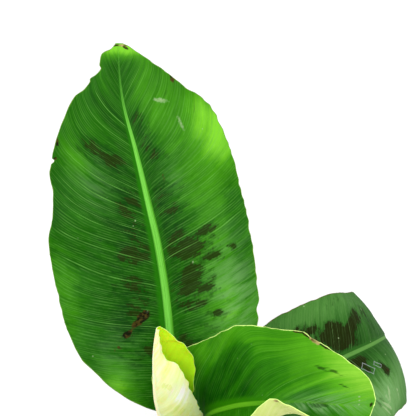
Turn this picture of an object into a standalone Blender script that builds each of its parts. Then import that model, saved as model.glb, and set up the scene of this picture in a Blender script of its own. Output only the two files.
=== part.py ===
"""Young banana plant in a plain round pot. Metres, Z up, the middle of the pot's underside at the origin.

Every leaf is one solid: a sheath wrapped round the stem, its leafstalk, the midrib and the blade. The
sheaths stand nested in one another, the oldest outside, and so make up the false stem, which stands in a
hole in the soil.
"""

import math
from dataclasses import dataclass

import bmesh
import bpy
import numpy as np

OBJECT_NAME = "potted_banana_plant"

# Pot and soil
POT_HEIGHT = 0.145
POT_FOOT_RADIUS = 0.055
POT_RIM_RADIUS = 0.078
POT_WALL = 0.0028
POT_FLOOR = 0.0035
POT_RIM_HEIGHT = 0.018
DRAIN_HOLES = 4
DRAIN_RADIUS = 0.005
DRAIN_RING = 0.034
SOIL_TOP = 0.130
SOIL_GAP = 0.0003
STEM_HOLE_RADIUS = 0.0177
STEM_DEPTH = 0.012
ROUND_STEPS = 40

# How the leaves are divided: columns from the midrib to the margin, and rows on the leafstalk and the
# blade. The blade's rows lie closer together at its two ends, by this share.
HALF_COLUMNS = 7
STALK_ROWS = 6
BLADE_ROWS = 20
ROW_BUNCHING = 0.75

# The sheaths: how far round each side they wrap, in degrees, and how thick they are
SHEATH_WRAP = 152.0
MOUTH_WRAP = 88.0
MOUTH_LENGTH = 0.030
SHEATH_EDGE = 0.0008
SHEATH_WALL = 0.0016
SHEATH_MARGIN = 0.0011

# The leafstalk at its middle, as a share of the way from the sheath's mouth to the blade, and its keel there
STALK_MIDDLE = 0.6
STALK_KEEL = 0.0044

# From the blade's start to its tip: stations, the channel's turn in degrees, and the thickness at the keel
# and at the edge of the channel
STATIONS = (1.0, 1.2, 1.5, 2.0)
CHANNEL_TURN = (62.0, 40.0, 20.0, 4.0)
KEEL_THICKNESS = (0.0050, 0.0042, 0.0030, 0.0010)
EDGE_THICKNESS = (0.0008, 0.0008, 0.0008, 0.0008)
THICKEST = 0.005

# The dry old sheath round the foot of the stem
DRY_RADIUS = 0.0160
DRY_WALL = 0.0012
DRY_HEADING = 25.0
DRY_WRAP = 132.0
DRY_TOP = 0.156


@dataclass(frozen=True)
class LeafShape:
    """One leaf. Positions in metres, angles in degrees.

    Stations run from 0 at the sheath's foot over 1 at the blade's start to 2 at the tip. Half widths, left
    and right of the midrib, are in millimetres at shares of the blade's length from 0 to 1. The channel's
    half widths, also in millimetres, are those at the leafstalk's middle and at STATIONS.
    """

    name: str
    color: tuple
    heading: float
    radius: float
    mouth: float
    blade_start: float
    rib: tuple
    sides: tuple
    half_left: tuple
    half_right: tuple
    fold_left: tuple
    fold_right: tuple
    bend_left: tuple
    bend_right: tuple
    channel: tuple = (8.0, 6.0, 5.0, 4.0, 1.2)
    waves: tuple = ((0.003, 4.0), (0.002, 5.0))


LEAF_TALL = LeafShape(
    name="leaf_tall",
    color=(0.05, 0.19, 0.02, 1.0),
    heading=110.0,
    radius=0.0065,
    mouth=0.215,
    blade_start=0.150,
    rib=(
        (-0.007, 0.013, 0.238),
        (-0.012, 0.024, 0.269),
        (-0.015, 0.050, 0.309),
        (-0.020, 0.080, 0.350),
        (-0.027, 0.104, 0.385),
        (-0.035, 0.125, 0.412),
        (-0.045, 0.149, 0.446),
        (-0.056, 0.175, 0.481),
        (-0.059, 0.201, 0.519),
    ),
    sides=((1.0, (1, 0, 0.05)), (1.5, (1, 0.05, 0.07)), (2.0, (1, 0.1, 0))),
    half_left=(
        (0, 0.03, 0.1, 0.2, 0.3, 0.45, 0.6, 0.75, 0.86, 0.91, 0.94, 0.97, 1),
        (2, 21, 53, 75, 82, 86, 80, 65, 41, 25, 15, 12.5, 2),
    ),
    half_right=(
        (0, 0.03, 0.1, 0.2, 0.3, 0.45, 0.6, 0.75, 0.86, 0.95, 1),
        (2, 31, 57, 69, 73, 74, 74.5, 69, 50, 26, 3),
    ),
    fold_left=((0, 1, 1.3, 2), (0, 25, 12, 10)),
    fold_right=((0, 1, 1.3, 2), (0, 25, 12, 8)),
    bend_left=((0, 1, 1.3, 2), (0, 10, -10, -5)),
    bend_right=((0, 1, 1.3, 2), (0, 10, -12, -5)),
)

LEAF_ARCHING = LeafShape(
    name="leaf_arching",
    color=(0.04, 0.12, 0.03, 1.0),
    heading=48.0,
    radius=0.0113,
    mouth=0.185,
    blade_start=0.125,
    rib=(
        (0.012, 0.012, 0.205),
        (0.022, 0.022, 0.238),
        (0.040, 0.038, 0.246),
        (0.063, 0.050, 0.251),
        (0.098, 0.068, 0.255),
        (0.138, 0.085, 0.265),
        (0.163, 0.103, 0.262),
        (0.178, 0.125, 0.249),
        (0.185, 0.146, 0.231),
        (0.185, 0.166, 0.208),
        (0.182, 0.185, 0.185),
        (0.177, 0.203, 0.161),
        (0.171, 0.219, 0.136),
    ),
    sides=(
        (1.0, (0.7, -0.65, -0.25)),
        (1.3, (0.52, -0.6, -0.6)),
        (1.5, (0.42, -0.58, -0.70)),
        (2.0, (0.40, -0.6, -0.70)),
    ),
    half_left=(
        (0, 0.05, 0.15, 0.3, 0.45, 0.55, 0.7, 0.85, 0.95, 1),
        (2, 26, 42, 53, 54, 52, 46, 35, 18, 3),
    ),
    half_right=(
        (0, 0.05, 0.15, 0.3, 0.5, 0.6, 0.7, 0.85, 0.95, 1),
        (2, 26, 42, 54, 66, 65, 57.5, 40, 20, 3),
    ),
    fold_left=((0, 1, 1.3, 1.55, 2), (0, 25, 5, -6, 0)),
    fold_right=((0, 1, 1.3, 1.6, 2), (0, 25, 8, 12, 5)),
    bend_left=((0, 1, 1.3, 1.55, 2), (0, 10, -14, -18, -5)),
    bend_right=((0, 1, 1.3, 1.6, 2), (0, 10, -20, -44, -15)),
    waves=((0.002, 4.0), (0.002, 5.0)),
)

LEAF_CUPPED = LeafShape(
    name="leaf_cupped",
    color=(0.08, 0.33, 0.02, 1.0),
    heading=335.0,
    radius=0.0042,
    mouth=0.240,
    blade_start=0.145,
    rib=(
        (0.007, -0.004, 0.262),
        (0.015, -0.012, 0.294),
        (0.033, -0.024, 0.318),
        (0.057, -0.043, 0.344),
        (0.084, -0.062, 0.366),
        (0.111, -0.081, 0.384),
        (0.133, -0.095, 0.399),
    ),
    sides=((1.0, (-0.36, -0.9, -0.05)), (1.5, (-0.36, -0.88, -0.14)), (2.0, (-0.36, -0.9, -0.15))),
    half_left=(
        (0, 0.03, 0.07, 0.12, 0.25, 0.35, 0.43, 0.5, 0.6, 0.67, 0.70, 0.75, 0.82, 0.88, 0.96, 1),
        (3, 30, 49, 55, 56, 55, 56.5, 56, 53.5, 50, 44.5, 39.5, 34.5, 29, 17, 3),
    ),
    half_right=(
        (0, 0.05, 0.12, 0.25, 0.4, 0.6, 0.75, 0.88, 0.95, 0.985, 1),
        (3, 30, 46, 52, 52, 50, 46, 38, 30, 20, 9),
    ),
    fold_left=((0, 1, 1.3, 2), (0, 60, 40, 10)),
    fold_right=((0, 1, 1.06, 1.55, 1.76, 1.9, 2), (0, 40, 12, 8, 16, 0, -10)),
    bend_left=((0, 1, 1.3, 2), (0, 40, 30, 5)),
    bend_right=(
        (0, 1, 1.3, 1.58, 1.66, 1.73, 1.80, 1.87, 1.93, 2),
        (0, 15, 20, 30, 62, 86, 76, 74, 50, 10),
    ),
    channel=(6.0, 5.0, 4.2, 3.5, 1.2),
    waves=((0.003, 3.0), (0.002, 4.0)),
)

LEAF_ROLLED = LeafShape(
    name="leaf_rolled",
    color=(0.55, 0.65, 0.20, 1.0),
    heading=180.0,
    radius=0.0020,
    mouth=0.250,
    blade_start=0.148,
    rib=(
        (-0.007, -0.002, 0.263),
        (-0.0185, -0.006, 0.281),
        (-0.0235, -0.009, 0.304),
        (-0.0255, -0.010, 0.337),
        (-0.0255, -0.006, 0.362),
        (-0.023, -0.003, 0.385),
    ),
    sides=((1.0, (0.1, 1, 0)), (1.5, (0.2, 1, 0)), (2.0, (0.2, 1, 0))),
    half_left=(
        (0, 0.08, 0.2, 0.3, 0.39, 0.47, 0.57, 0.67, 0.72, 0.77, 0.79, 0.87, 1),
        (3, 10, 32, 43, 41, 39, 34, 30, 25, 19, 12, 6, 2),
    ),
    half_right=(
        (0, 0.08, 0.2, 0.3, 0.44, 0.52, 0.61, 0.71, 0.79, 0.845, 0.86, 0.9, 1),
        (3, 10, 25, 30, 32, 32.5, 34, 33, 28, 23.5, 19.5, 15, 2),
    ),
    fold_left=((0, 1, 1.3, 2), (0, 45, 30, 30)),
    fold_right=((0, 1, 1.3, 2), (0, 45, 22, 20)),
    bend_left=((0, 1, 1.3, 2), (0, 85, 118, 110)),
    bend_right=((0, 1, 1.3, 1.45, 1.65, 2), (0, 85, 112, 108, 90, 80)),
    channel=(3.4, 4.0, 3.5, 3.0, 1.0),
    waves=((0.0, 1.0), (0.0, 1.0)),
)

LEAF_FRONT = LeafShape(
    name="leaf_front",
    color=(0.05, 0.17, 0.04, 1.0),
    heading=265.0,
    radius=0.0089,
    mouth=0.205,
    blade_start=0.155,
    rib=(
        (-0.002, -0.014, 0.228),
        (-0.004, -0.034, 0.255),
        (-0.007, -0.070, 0.276),
        (-0.012, -0.110, 0.282),
        (-0.020, -0.150, 0.272),
        (-0.030, -0.190, 0.246),
        (-0.040, -0.224, 0.208),
        (-0.048, -0.244, 0.170),
    ),
    sides=((1.0, (-1, 0.1, 0)), (1.5, (-1, 0.15, 0.1)), (2.0, (-1, 0.25, 0.15))),
    half_left=((0, 0.05, 0.15, 0.3, 0.5, 0.7, 0.85, 0.95, 1), (2, 26, 42, 50, 52, 46, 32, 16, 3)),
    half_right=((0, 0.05, 0.15, 0.3, 0.5, 0.7, 0.85, 0.95, 1), (2, 26, 42, 50, 54, 46, 32, 16, 3)),
    fold_left=((0, 1, 1.3, 2), (0, 25, 10, 5)),
    fold_right=((0, 1, 1.3, 2), (0, 25, 10, 5)),
    bend_left=((0, 1, 1.3, 2), (0, 10, -25, -20)),
    bend_right=((0, 1, 1.3, 2), (0, 10, -22, -20)),
    waves=((0.003, 4.0), (0.003, 5.0)),
)

LEAF_LOW = LeafShape(
    name="leaf_low",
    color=(0.06, 0.16, 0.03, 1.0),
    heading=205.0,
    radius=0.0137,
    mouth=0.165,
    blade_start=0.115,
    rib=(
        (-0.016, -0.008, 0.186),
        (-0.032, -0.015, 0.212),
        (-0.062, -0.028, 0.232),
        (-0.096, -0.044, 0.236),
        (-0.130, -0.058, 0.222),
        (-0.158, -0.070, 0.196),
        (-0.176, -0.078, 0.164),
    ),
    sides=((1.0, (-0.42, 0.9, 0)), (1.5, (-0.42, 0.9, 0.1)), (2.0, (-0.42, 0.9, 0.2))),
    half_left=((0, 0.05, 0.15, 0.3, 0.5, 0.7, 0.85, 0.95, 1), (2, 20, 33, 42, 44, 38, 27, 14, 3)),
    half_right=((0, 0.05, 0.15, 0.3, 0.5, 0.7, 0.85, 0.95, 1), (2, 20, 33, 42, 44, 38, 27, 14, 3)),
    fold_left=((0, 1, 1.3, 2), (0, 25, 10, 5)),
    fold_right=((0, 1, 1.3, 2), (0, 25, 10, 5)),
    bend_left=((0, 1, 1.3, 2), (0, 10, -25, -20)),
    bend_right=((0, 1, 1.3, 2), (0, 10, -22, -20)),
    channel=(8.5, 5.5, 4.5, 3.5, 1.2),
    waves=((0.003, 4.0), (0.003, 5.0)),
)

LEAVES = (LEAF_TALL, LEAF_ARCHING, LEAF_CUPPED, LEAF_ROLLED, LEAF_FRONT, LEAF_LOW)


def eased(knots, values, at):
    """Values between knots along a curve that never overshoots them (monotone cubic)."""
    knots, values = np.asarray(knots, float), np.asarray(values, float)
    step = np.diff(knots)
    rise = np.diff(values) / step
    slope = np.zeros_like(values)
    slope[0], slope[-1] = rise[0], rise[-1]
    for i in range(1, len(knots) - 1):
        if rise[i - 1] * rise[i] > 0:
            near, far = 2 * step[i] + step[i - 1], step[i] + 2 * step[i - 1]
            slope[i] = (near + far) / (near / rise[i - 1] + far / rise[i])
    at = np.clip(at, knots[0], knots[-1])
    k = np.clip(np.searchsorted(knots, at, side="right") - 1, 0, len(knots) - 2)
    t, h = (at - knots[k]) / step[k], step[k]
    return (
        (1 + 2 * t) * (1 - t) ** 2 * values[k]
        + t * (1 - t) ** 2 * h * slope[k]
        + t * t * (3 - 2 * t) * values[k + 1]
        + t * t * (t - 1) * h * slope[k + 1]
    )


def unit(vectors):
    return vectors / np.linalg.norm(vectors, axis=-1, keepdims=True)


def curve_through(points, samples=600):
    """A smooth curve through the points, as many samples at even steps of chord length."""
    p = np.asarray(points, float)
    chord = np.linalg.norm(np.diff(p, axis=0), axis=1)
    u = np.concatenate([[0], np.cumsum(chord)])
    pace = np.diff(p, axis=0) / chord[:, None]
    slope = np.empty_like(p)
    both = (chord[1:] + chord[:-1])[:, None]
    slope[1:-1] = (pace[:-1] * chord[1:, None] + pace[1:] * chord[:-1, None]) / both
    slope[0], slope[-1] = pace[0], 2 * pace[-1] - slope[-2]
    x = np.linspace(0, u[-1], samples)
    k = np.clip(np.searchsorted(u, x, side="right") - 1, 0, len(u) - 2)
    t, h = ((x - u[k]) / chord[k])[:, None], chord[k][:, None]
    return (
        (1 + 2 * t) * (1 - t) ** 2 * p[k]
        + t * (1 - t) ** 2 * h * slope[k]
        + t * t * (3 - 2 * t) * p[k + 1]
        + t * t * (t - 1) * h * slope[k + 1]
    )


def arc(at, length, start, bend):
    """Sideways and upward reach at a distance along an arc that starts at one angle and turns by another."""
    bend = np.where(np.abs(bend) < 1e-4, 1e-4, bend)
    rate = bend / np.maximum(length, 1e-9)
    return (
        (np.sin(start + rate * at) - np.sin(start)) / rate,
        (np.cos(start) - np.cos(start + rate * at)) / rate,
    )


def rib_of(leaf):
    """The leaf's keel line: straight up inside the stem, then out along the leafstalk and the midrib."""
    angle = math.radians(leaf.heading)
    foot = [
        (leaf.radius * math.cos(angle), leaf.radius * math.sin(angle), z)
        for z in (*np.linspace(SOIL_TOP - STEM_DEPTH, leaf.mouth - 0.005, 4), leaf.mouth)
    ]
    path = curve_through(foot + list(leaf.rib))
    run = np.concatenate([[0], np.cumsum(np.linalg.norm(np.diff(path, axis=0), axis=1))])
    return path, run


def leaf_points(leaf):
    """Upper surface as rows by columns of points, with the thickness at each point."""
    path, run = rib_of(leaf)
    even = np.linspace(0, 1, BLADE_ROWS)
    share = ROW_BUNCHING * (0.5 - 0.5 * np.cos(np.pi * even)) + (1 - ROW_BUNCHING) * even
    start = leaf.blade_start
    mouth = (leaf.mouth - SOIL_TOP + STEM_DEPTH) / start
    closed = mouth - MOUTH_LENGTH / start
    stalk = mouth + STALK_MIDDLE * (1 - mouth)
    stem = [0.0, closed, (closed + mouth) / 2, *np.linspace(mouth, 1, STALK_ROWS, endpoint=False)]
    at = np.concatenate([start * np.array(stem), start + (run[-1] - start) * share])
    along = np.clip((at - start) / (run[-1] - start), 0, 1)
    station = np.where(at < start, at / start, 1 + along)
    place = np.stack([np.interp(at, run, path[:, i]) for i in range(3)], 1)
    heading = np.gradient(path, run, axis=0)
    forward = unit(np.stack([np.interp(at, run, heading[:, i]) for i in range(3)], 1))
    angle = math.radians(leaf.heading)
    sheath_side = (math.sin(angle), -math.cos(angle), 0)
    sides = unit(np.array([sheath_side, sheath_side] + [side for _, side in leaf.sides], float))
    side_at = [0.0, mouth] + [at_station for at_station, _ in leaf.sides]
    side = np.stack([eased(side_at, sides[:, i], station) for i in range(3)], 1)
    side = unit(side - (side * forward).sum(1, keepdims=True) * forward)
    up = np.cross(side, forward)

    # The sheath's wrap opens below its mouth at the same radius, and the leafstalk leaves the stem above it
    knots = (0.0, closed, mouth) + STATIONS
    wrap = np.radians(eased(knots, (SHEATH_WRAP, SHEATH_WRAP, MOUTH_WRAP) + CHANNEL_TURN, station))[:, None]
    mouth_half = 1000 * leaf.radius * math.radians(MOUTH_WRAP)
    stalk_half = 0.001 * eased((mouth, stalk) + STATIONS, (mouth_half,) + leaf.channel, station)[:, None]
    channel = np.where(station[:, None] <= mouth, leaf.radius * wrap, stalk_half)
    keel = eased(
        (0.0, mouth, stalk) + STATIONS, (SHEATH_WALL, SHEATH_WALL, STALK_KEEL) + KEEL_THICKNESS, station
    )[:, None]
    edge = eased((0.0, mouth) + STATIONS, (SHEATH_MARGIN, SHEATH_MARGIN) + EDGE_THICKNESS, station)[:, None]

    halves = []
    for sign, width, fold, bend, wave in (
        (-1, leaf.half_left, leaf.fold_left, leaf.bend_left, leaf.waves[0]),
        (1, leaf.half_right, leaf.fold_right, leaf.bend_right, leaf.waves[1]),
    ):
        blade = (0.001 * eased(*width, along) * (along > 0) + SHEATH_EDGE)[:, None]
        fold = np.radians(eased(*fold, station))[:, None]
        bend = np.radians(eased(*bend, station))[:, None]
        # Even columns round the sheath, then two to the channel's edge and the rest on the blade
        spread = np.arange(1, HALF_COLUMNS + 1) / HALF_COLUMNS
        outer = np.arange(1, HALF_COLUMNS - 1) / (HALF_COLUMNS - 2)
        split = np.concatenate([np.array([0.5, 1.0])[None] * channel, channel + outer[None] * blade], 1)
        mix = np.clip((station - 0.9) / 0.1, 0, 1)[:, None]
        reach = spread[None] * (channel + blade) * (1 - mix) + split * mix
        inner = np.minimum(reach, channel)
        y, z = arc(inner, channel, 0.0, wrap)
        y_blade, z_blade = arc(np.maximum(reach - channel, 0), blade, fold, bend)
        share = np.clip((reach - channel) / blade, 0, 1) * (along > 0)[:, None]
        height, cycles = wave
        calm = np.clip(1.5 * np.sin(np.pi * along), 0, 1)[:, None]
        ruffle = height * share**2 * np.sin(2 * np.pi * cycles * along)[:, None] * calm
        thick = edge + (keel - edge) * np.cos(0.5 * np.pi * np.clip(reach / channel, 0, 1)) ** 2
        halves.append((sign * (y + y_blade), z + z_blade + ruffle, thick))
    middle = np.zeros((len(at), 1))
    y = np.concatenate([halves[0][0][:, ::-1], middle, halves[1][0]], 1)
    z = np.concatenate([halves[0][1][:, ::-1], middle, halves[1][1]], 1)
    thick = np.concatenate([halves[0][2][:, ::-1], keel, halves[1][2]], 1)
    points = place[:, None] + y[..., None] * side[:, None] + z[..., None] * up[:, None]
    return points, thick


def dry_sheath_points():
    """Inner surface of the old sheath, torn along its top, with its thickness."""
    rows, columns = 5, 2 * HALF_COLUMNS
    turn = np.radians(np.linspace(-DRY_WRAP, DRY_WRAP, columns + 1))[None]
    top = DRY_TOP + 0.006 * np.cos(turn) - 0.004 * np.abs(np.sin(4.5 * turn + 0.6))
    share = np.linspace(0, 1, rows + 1)[:, None]
    bottom = SOIL_TOP - STEM_DEPTH
    z = bottom + (top - bottom) * share
    radius = DRY_RADIUS + 0.0024 * share**3 * (1 + 0.4 * np.sin(3 * turn))
    angle = math.radians(DRY_HEADING) - turn
    points = np.stack([radius * np.cos(angle), radius * np.sin(angle), z], -1)
    return points, np.full(points.shape[:2], DRY_WALL) * (1 - 0.25 * share)


def material(name, color, roughness, specular=0.5):
    made = bpy.data.materials.new(name)
    made.use_nodes = True
    shader = made.node_tree.nodes["Principled BSDF"]
    shader.inputs["Base Color"].default_value = color
    shader.inputs["Roughness"].default_value = roughness
    shader.inputs["Specular IOR Level"].default_value = specular
    made.diffuse_color = color
    return made


def sheet(name, points, thickness, collection, surface):
    """A thickened grid: the points are its inner or upper side, and the thickness goes the other way."""
    rows, columns = points.shape[0] - 1, points.shape[1] - 1
    grid = bmesh.new()
    bmesh.ops.create_grid(grid, x_segments=columns, y_segments=rows, size=1.0)
    bmesh.ops.triangulate(grid, faces=grid.faces[:], quad_method="FIXED")
    mesh = bpy.data.meshes.new(name)
    grid.to_mesh(mesh)
    grid.free()
    flat = np.empty(len(mesh.vertices) * 3, np.float32)
    mesh.vertices.foreach_get("co", flat)
    flat = flat.reshape(-1, 3)
    column = np.rint((flat[:, 0] + 1) / 2 * columns).astype(int)
    row = np.rint((flat[:, 1] + 1) / 2 * rows).astype(int)
    mesh.vertices.foreach_set("co", points[row, column].astype(np.float32).ravel())
    mesh.shade_smooth()
    mesh.update()
    obj = bpy.data.objects.new(name, mesh)
    collection.objects.link(obj)
    mesh.materials.append(surface)
    group = obj.vertex_groups.new(name="thickness")
    for index, weight in enumerate(thickness[row, column] / THICKEST):
        group.add([index], float(weight), "REPLACE")
    solid = obj.modifiers.new("Solid", "SOLIDIFY")
    solid.thickness = THICKEST
    solid.offset = -1.0
    solid.vertex_group = "thickness"
    solid.use_rim = True
    return obj


def turned(name, profile, collection, surface):
    """A profile of radius and height turned round Z: from the axis up the inside and down the outside."""
    mesh = bpy.data.meshes.new(name)
    outline = bmesh.new()
    ring = [outline.verts.new((radius, 0.0, height)) for radius, height in profile]
    for first, second in zip(ring, ring[1:]):
        outline.edges.new((first, second))
    outline.to_mesh(mesh)
    outline.free()
    obj = bpy.data.objects.new(name, mesh)
    collection.objects.link(obj)
    mesh.materials.append(surface)
    screw = obj.modifiers.new("Turn", "SCREW")
    screw.axis = "Z"
    screw.angle = 2 * math.pi
    screw.steps = screw.render_steps = ROUND_STEPS
    screw.use_smooth_shade = True
    screw.use_merge_vertices = True
    screw.merge_threshold = 0.00001
    return obj


def make_pot(collection, helpers, surface):
    slope = (POT_RIM_RADIUS - 0.004 - POT_FOOT_RADIUS) / (POT_HEIGHT - POT_RIM_HEIGHT)
    skirt = POT_HEIGHT - POT_RIM_HEIGHT
    inner_foot = POT_FOOT_RADIUS - POT_WALL
    inner_top = POT_RIM_RADIUS - 0.004 - POT_WALL + slope * POT_RIM_HEIGHT
    profile = [
        (0.0, POT_FLOOR),
        (inner_foot, POT_FLOOR),
        (inner_top - 0.0004, POT_HEIGHT - 0.0010),
        (inner_top + 0.0006, POT_HEIGHT),
        (POT_RIM_RADIUS - 0.0012, POT_HEIGHT),
        (POT_RIM_RADIUS, POT_HEIGHT - 0.0012),
        (POT_RIM_RADIUS - 0.0006, skirt + 0.0010),
        (POT_RIM_RADIUS - 0.0014, skirt),
        (POT_RIM_RADIUS - 0.0040, skirt),
        (POT_FOOT_RADIUS, 0.0015),
        (POT_FOOT_RADIUS - 0.0015, 0.0),
        (0.0, 0.0),
    ]
    pot = turned("pot", profile, collection, surface)
    for index in range(DRAIN_HOLES):
        angle = math.radians(45 + 360 / DRAIN_HOLES * index)
        drill = bmesh.new()
        bmesh.ops.create_cone(
            drill, cap_ends=True, segments=16, radius1=DRAIN_RADIUS, radius2=DRAIN_RADIUS, depth=4 * POT_FLOOR
        )
        mesh = bpy.data.meshes.new(f"drill_{index}")
        drill.to_mesh(mesh)
        drill.free()
        cutter = bpy.data.objects.new(f"drill_{index}", mesh)
        cutter.location = (DRAIN_RING * math.cos(angle), DRAIN_RING * math.sin(angle), POT_FLOOR / 2)
        cutter.hide_render = True
        cutter.display_type = "WIRE"
        helpers.objects.link(cutter)
        cut = pot.modifiers.new(f"Drain {index}", "BOOLEAN")
        cut.operation = "DIFFERENCE"
        cut.solver = "EXACT"
        cut.object = cutter
    return pot, inner_foot, inner_top


def make_soil(collection, surface, inner_foot, inner_top):
    def inside(z):
        share = (z - POT_FLOOR) / (POT_HEIGHT - POT_FLOOR)
        return inner_foot + (inner_top - inner_foot) * share - 2 * SOIL_GAP

    bottom = POT_FLOOR + SOIL_GAP
    hole_floor = SOIL_TOP - STEM_DEPTH - SOIL_GAP
    profile = [
        (0.0, hole_floor),
        (STEM_HOLE_RADIUS, hole_floor),
        (STEM_HOLE_RADIUS, SOIL_TOP + 0.0012),
        (0.024, SOIL_TOP + 0.0014),
        (0.042, SOIL_TOP + 0.0002),
        (0.060, SOIL_TOP - 0.0008),
        (inside(SOIL_TOP - 0.001) - 0.0012, SOIL_TOP - 0.0002),
        (inside(SOIL_TOP - 0.001), SOIL_TOP - 0.0010),
        (inside(bottom), bottom),
        (0.0, bottom),
    ]
    return turned("soil", profile, collection, surface)


def main():
    for obj in list(bpy.data.objects):
        bpy.data.objects.remove(obj, do_unlink=True)
    scene = bpy.context.scene
    scene.unit_settings.system = "METRIC"
    scene.unit_settings.scale_length = 1.0
    plant = bpy.data.collections.new(OBJECT_NAME)
    helpers = bpy.data.collections.new("cutters")
    helpers.hide_render = True
    scene.collection.children.link(plant)
    scene.collection.children.link(helpers)

    plastic = material("pot_plastic", (0.10, 0.04, 0.025, 1.0), 0.55)
    _, inner_foot, inner_top = make_pot(plant, helpers, plastic)
    make_soil(plant, material("soil_peat", (0.035, 0.022, 0.015, 1.0), 0.95, 0.2), inner_foot, inner_top)
    husk = material("dry_sheath_husk", (0.30, 0.19, 0.09, 1.0), 0.8, 0.3)
    points, thickness = dry_sheath_points()
    sheet("sheath_dry", points, thickness, plant, husk)
    for leaf in LEAVES:
        points, thickness = leaf_points(leaf)
        sheet(leaf.name, points, thickness, plant, material(f"{leaf.name}_skin", leaf.color, 0.42))


main()
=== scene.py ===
"""Looks of the young banana plant in its pot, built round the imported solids. Metres, Z up.

Every leaf is one closed sheet: a sheath wrapped round the stem, its leafstalk and its blade. Its fine grid
follows the same formula as the solid. The surfaces carry their own measures, such as the way along a side
vein or the distance from the margin, and the finishes read those.
"""

import logging
import math
from dataclasses import dataclass
from enum import Enum

import bmesh
import bpy
import numpy as np
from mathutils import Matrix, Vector


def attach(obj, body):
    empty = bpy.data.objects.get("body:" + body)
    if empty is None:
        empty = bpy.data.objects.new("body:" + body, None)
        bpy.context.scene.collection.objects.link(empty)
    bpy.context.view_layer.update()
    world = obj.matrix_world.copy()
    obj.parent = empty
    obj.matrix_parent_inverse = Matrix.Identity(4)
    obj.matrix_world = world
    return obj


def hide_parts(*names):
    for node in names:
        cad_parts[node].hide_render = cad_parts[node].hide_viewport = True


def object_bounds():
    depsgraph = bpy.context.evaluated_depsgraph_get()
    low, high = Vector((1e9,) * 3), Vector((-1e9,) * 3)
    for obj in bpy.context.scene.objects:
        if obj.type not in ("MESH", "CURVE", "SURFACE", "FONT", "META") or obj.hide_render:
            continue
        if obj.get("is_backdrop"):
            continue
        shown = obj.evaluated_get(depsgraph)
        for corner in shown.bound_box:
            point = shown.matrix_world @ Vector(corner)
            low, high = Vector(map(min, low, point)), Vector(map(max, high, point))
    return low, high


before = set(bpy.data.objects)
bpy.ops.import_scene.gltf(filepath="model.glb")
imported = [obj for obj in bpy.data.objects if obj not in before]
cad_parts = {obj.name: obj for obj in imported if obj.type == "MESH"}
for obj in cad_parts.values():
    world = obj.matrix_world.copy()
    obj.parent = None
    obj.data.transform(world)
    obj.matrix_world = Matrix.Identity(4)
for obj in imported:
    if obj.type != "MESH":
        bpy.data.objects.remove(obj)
CAD_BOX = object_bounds()

LOG = logging.getLogger("banana_plant")
MM = 0.001
Array = np.ndarray
Color = tuple[float, float, float, float]
Point = tuple[float, float, float]
Knots = tuple[tuple[float, ...], tuple[float, ...]]
Socket = bpy.types.NodeSocket


def srgb(red: float, green: float, blue: float) -> Color:
    """A colour as a screen shows it, made linear.

    Args:
        red, green, blue: screen values from 0 to 255.

    Returns:
        Linear red, green and blue with an alpha of 1.
    """
    shares = (red / 255, green / 255, blue / 255)
    linear = [c / 12.92 if c <= 0.04045 else ((c + 0.055) / 1.055) ** 2.4 for c in shares]
    return (linear[0], linear[1], linear[2], 1.0)


# What the studio's light and the sheen do to a leaf's colour, and the darkest value kept
LEAF_LIGHT = 0.68
LEAF_SHEEN = 0.007
DARKEST = 0.0004


def skin(red: float, green: float, blue: float) -> Color:
    """A leaf's own colour from the colour that it shows: less the studio's light and the sheen.

    Args:
        red, green, blue: screen values from 0 to 255.

    Returns:
        Linear red, green and blue with an alpha of 1.
    """
    own = [max(LEAF_LIGHT * c - LEAF_SHEEN, DARKEST) for c in srgb(red, green, blue)[:3]]
    return (own[0], own[1], own[2], 1.0)


ROT_COLORS = (skin(34, 28, 16), skin(84, 68, 36))
DRY_COLORS = (skin(98, 72, 38), skin(200, 184, 120))
SCUFF_COLOR = skin(178, 208, 150)
SCRAPE_COLOR = skin(196, 206, 206)
# A pale grey-green film: partly the leaf's waxy bloom, partly a painted sheen
BLOOM_AND_SHEEN_COLOR = skin(130, 182, 112)

# The soil and the stem's hole, as in the solids
SOIL_TOP = 0.130
SOIL_GAP = 0.0003
STEM_HOLE_RADIUS = 0.0177
STEM_DEPTH = 0.012

# The sheaths and leafstalks, as in the solids
SHEATH_WRAP = 152.0
MOUTH_WRAP = 88.0
MOUTH_LENGTH = 0.030
SHEATH_EDGE = 0.0008
SHEATH_WALL = 0.0016
SHEATH_MARGIN = 0.0011
STALK_MIDDLE = 0.6
STALK_KEEL = 0.0044
STATIONS = (1.0, 1.2, 1.5, 2.0)
CHANNEL_TURN = (62.0, 40.0, 20.0, 4.0)
KEEL_THICKNESS = (0.0050, 0.0042, 0.0030, 0.0010)
BLADE_THICKNESS = 0.0005

# A blade's side veins: their gap, the first one's place, and how they hook at the midrib and the margin
VEIN_GAP = 0.0092
FIRST_VEIN = -0.12
HOOK = 0.005
HOOK_REACH = 0.007
MARGIN_CURL = 0.007

# Its relief: a ridge on each vein, an arch between two, and slow unevenness, its length in millimetres
RIDGE_HEIGHT = 0.00014
RIDGE_WIDTH = 0.0009
ARCH_HEIGHT = 0.00016
SLOW_HEIGHT = 0.0009
SLOW_LENGTH = 62.0

# Its margin: lengths of the wear and the teeth in millimetres, and the share of a half that cuts may take
UNEVEN_LENGTH = 34.0
TOOTH_LENGTH = 3.6
TOOTH_DRIFT = 60.0
DEEPEST_CUT = 0.6
TIP_EDGE = 0.0003

# The share of a blade over which its measures fade in, and a sharp edge's angle in degrees
BLADE_FADE = 0.06
SHARP_ANGLE = 62.0


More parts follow.
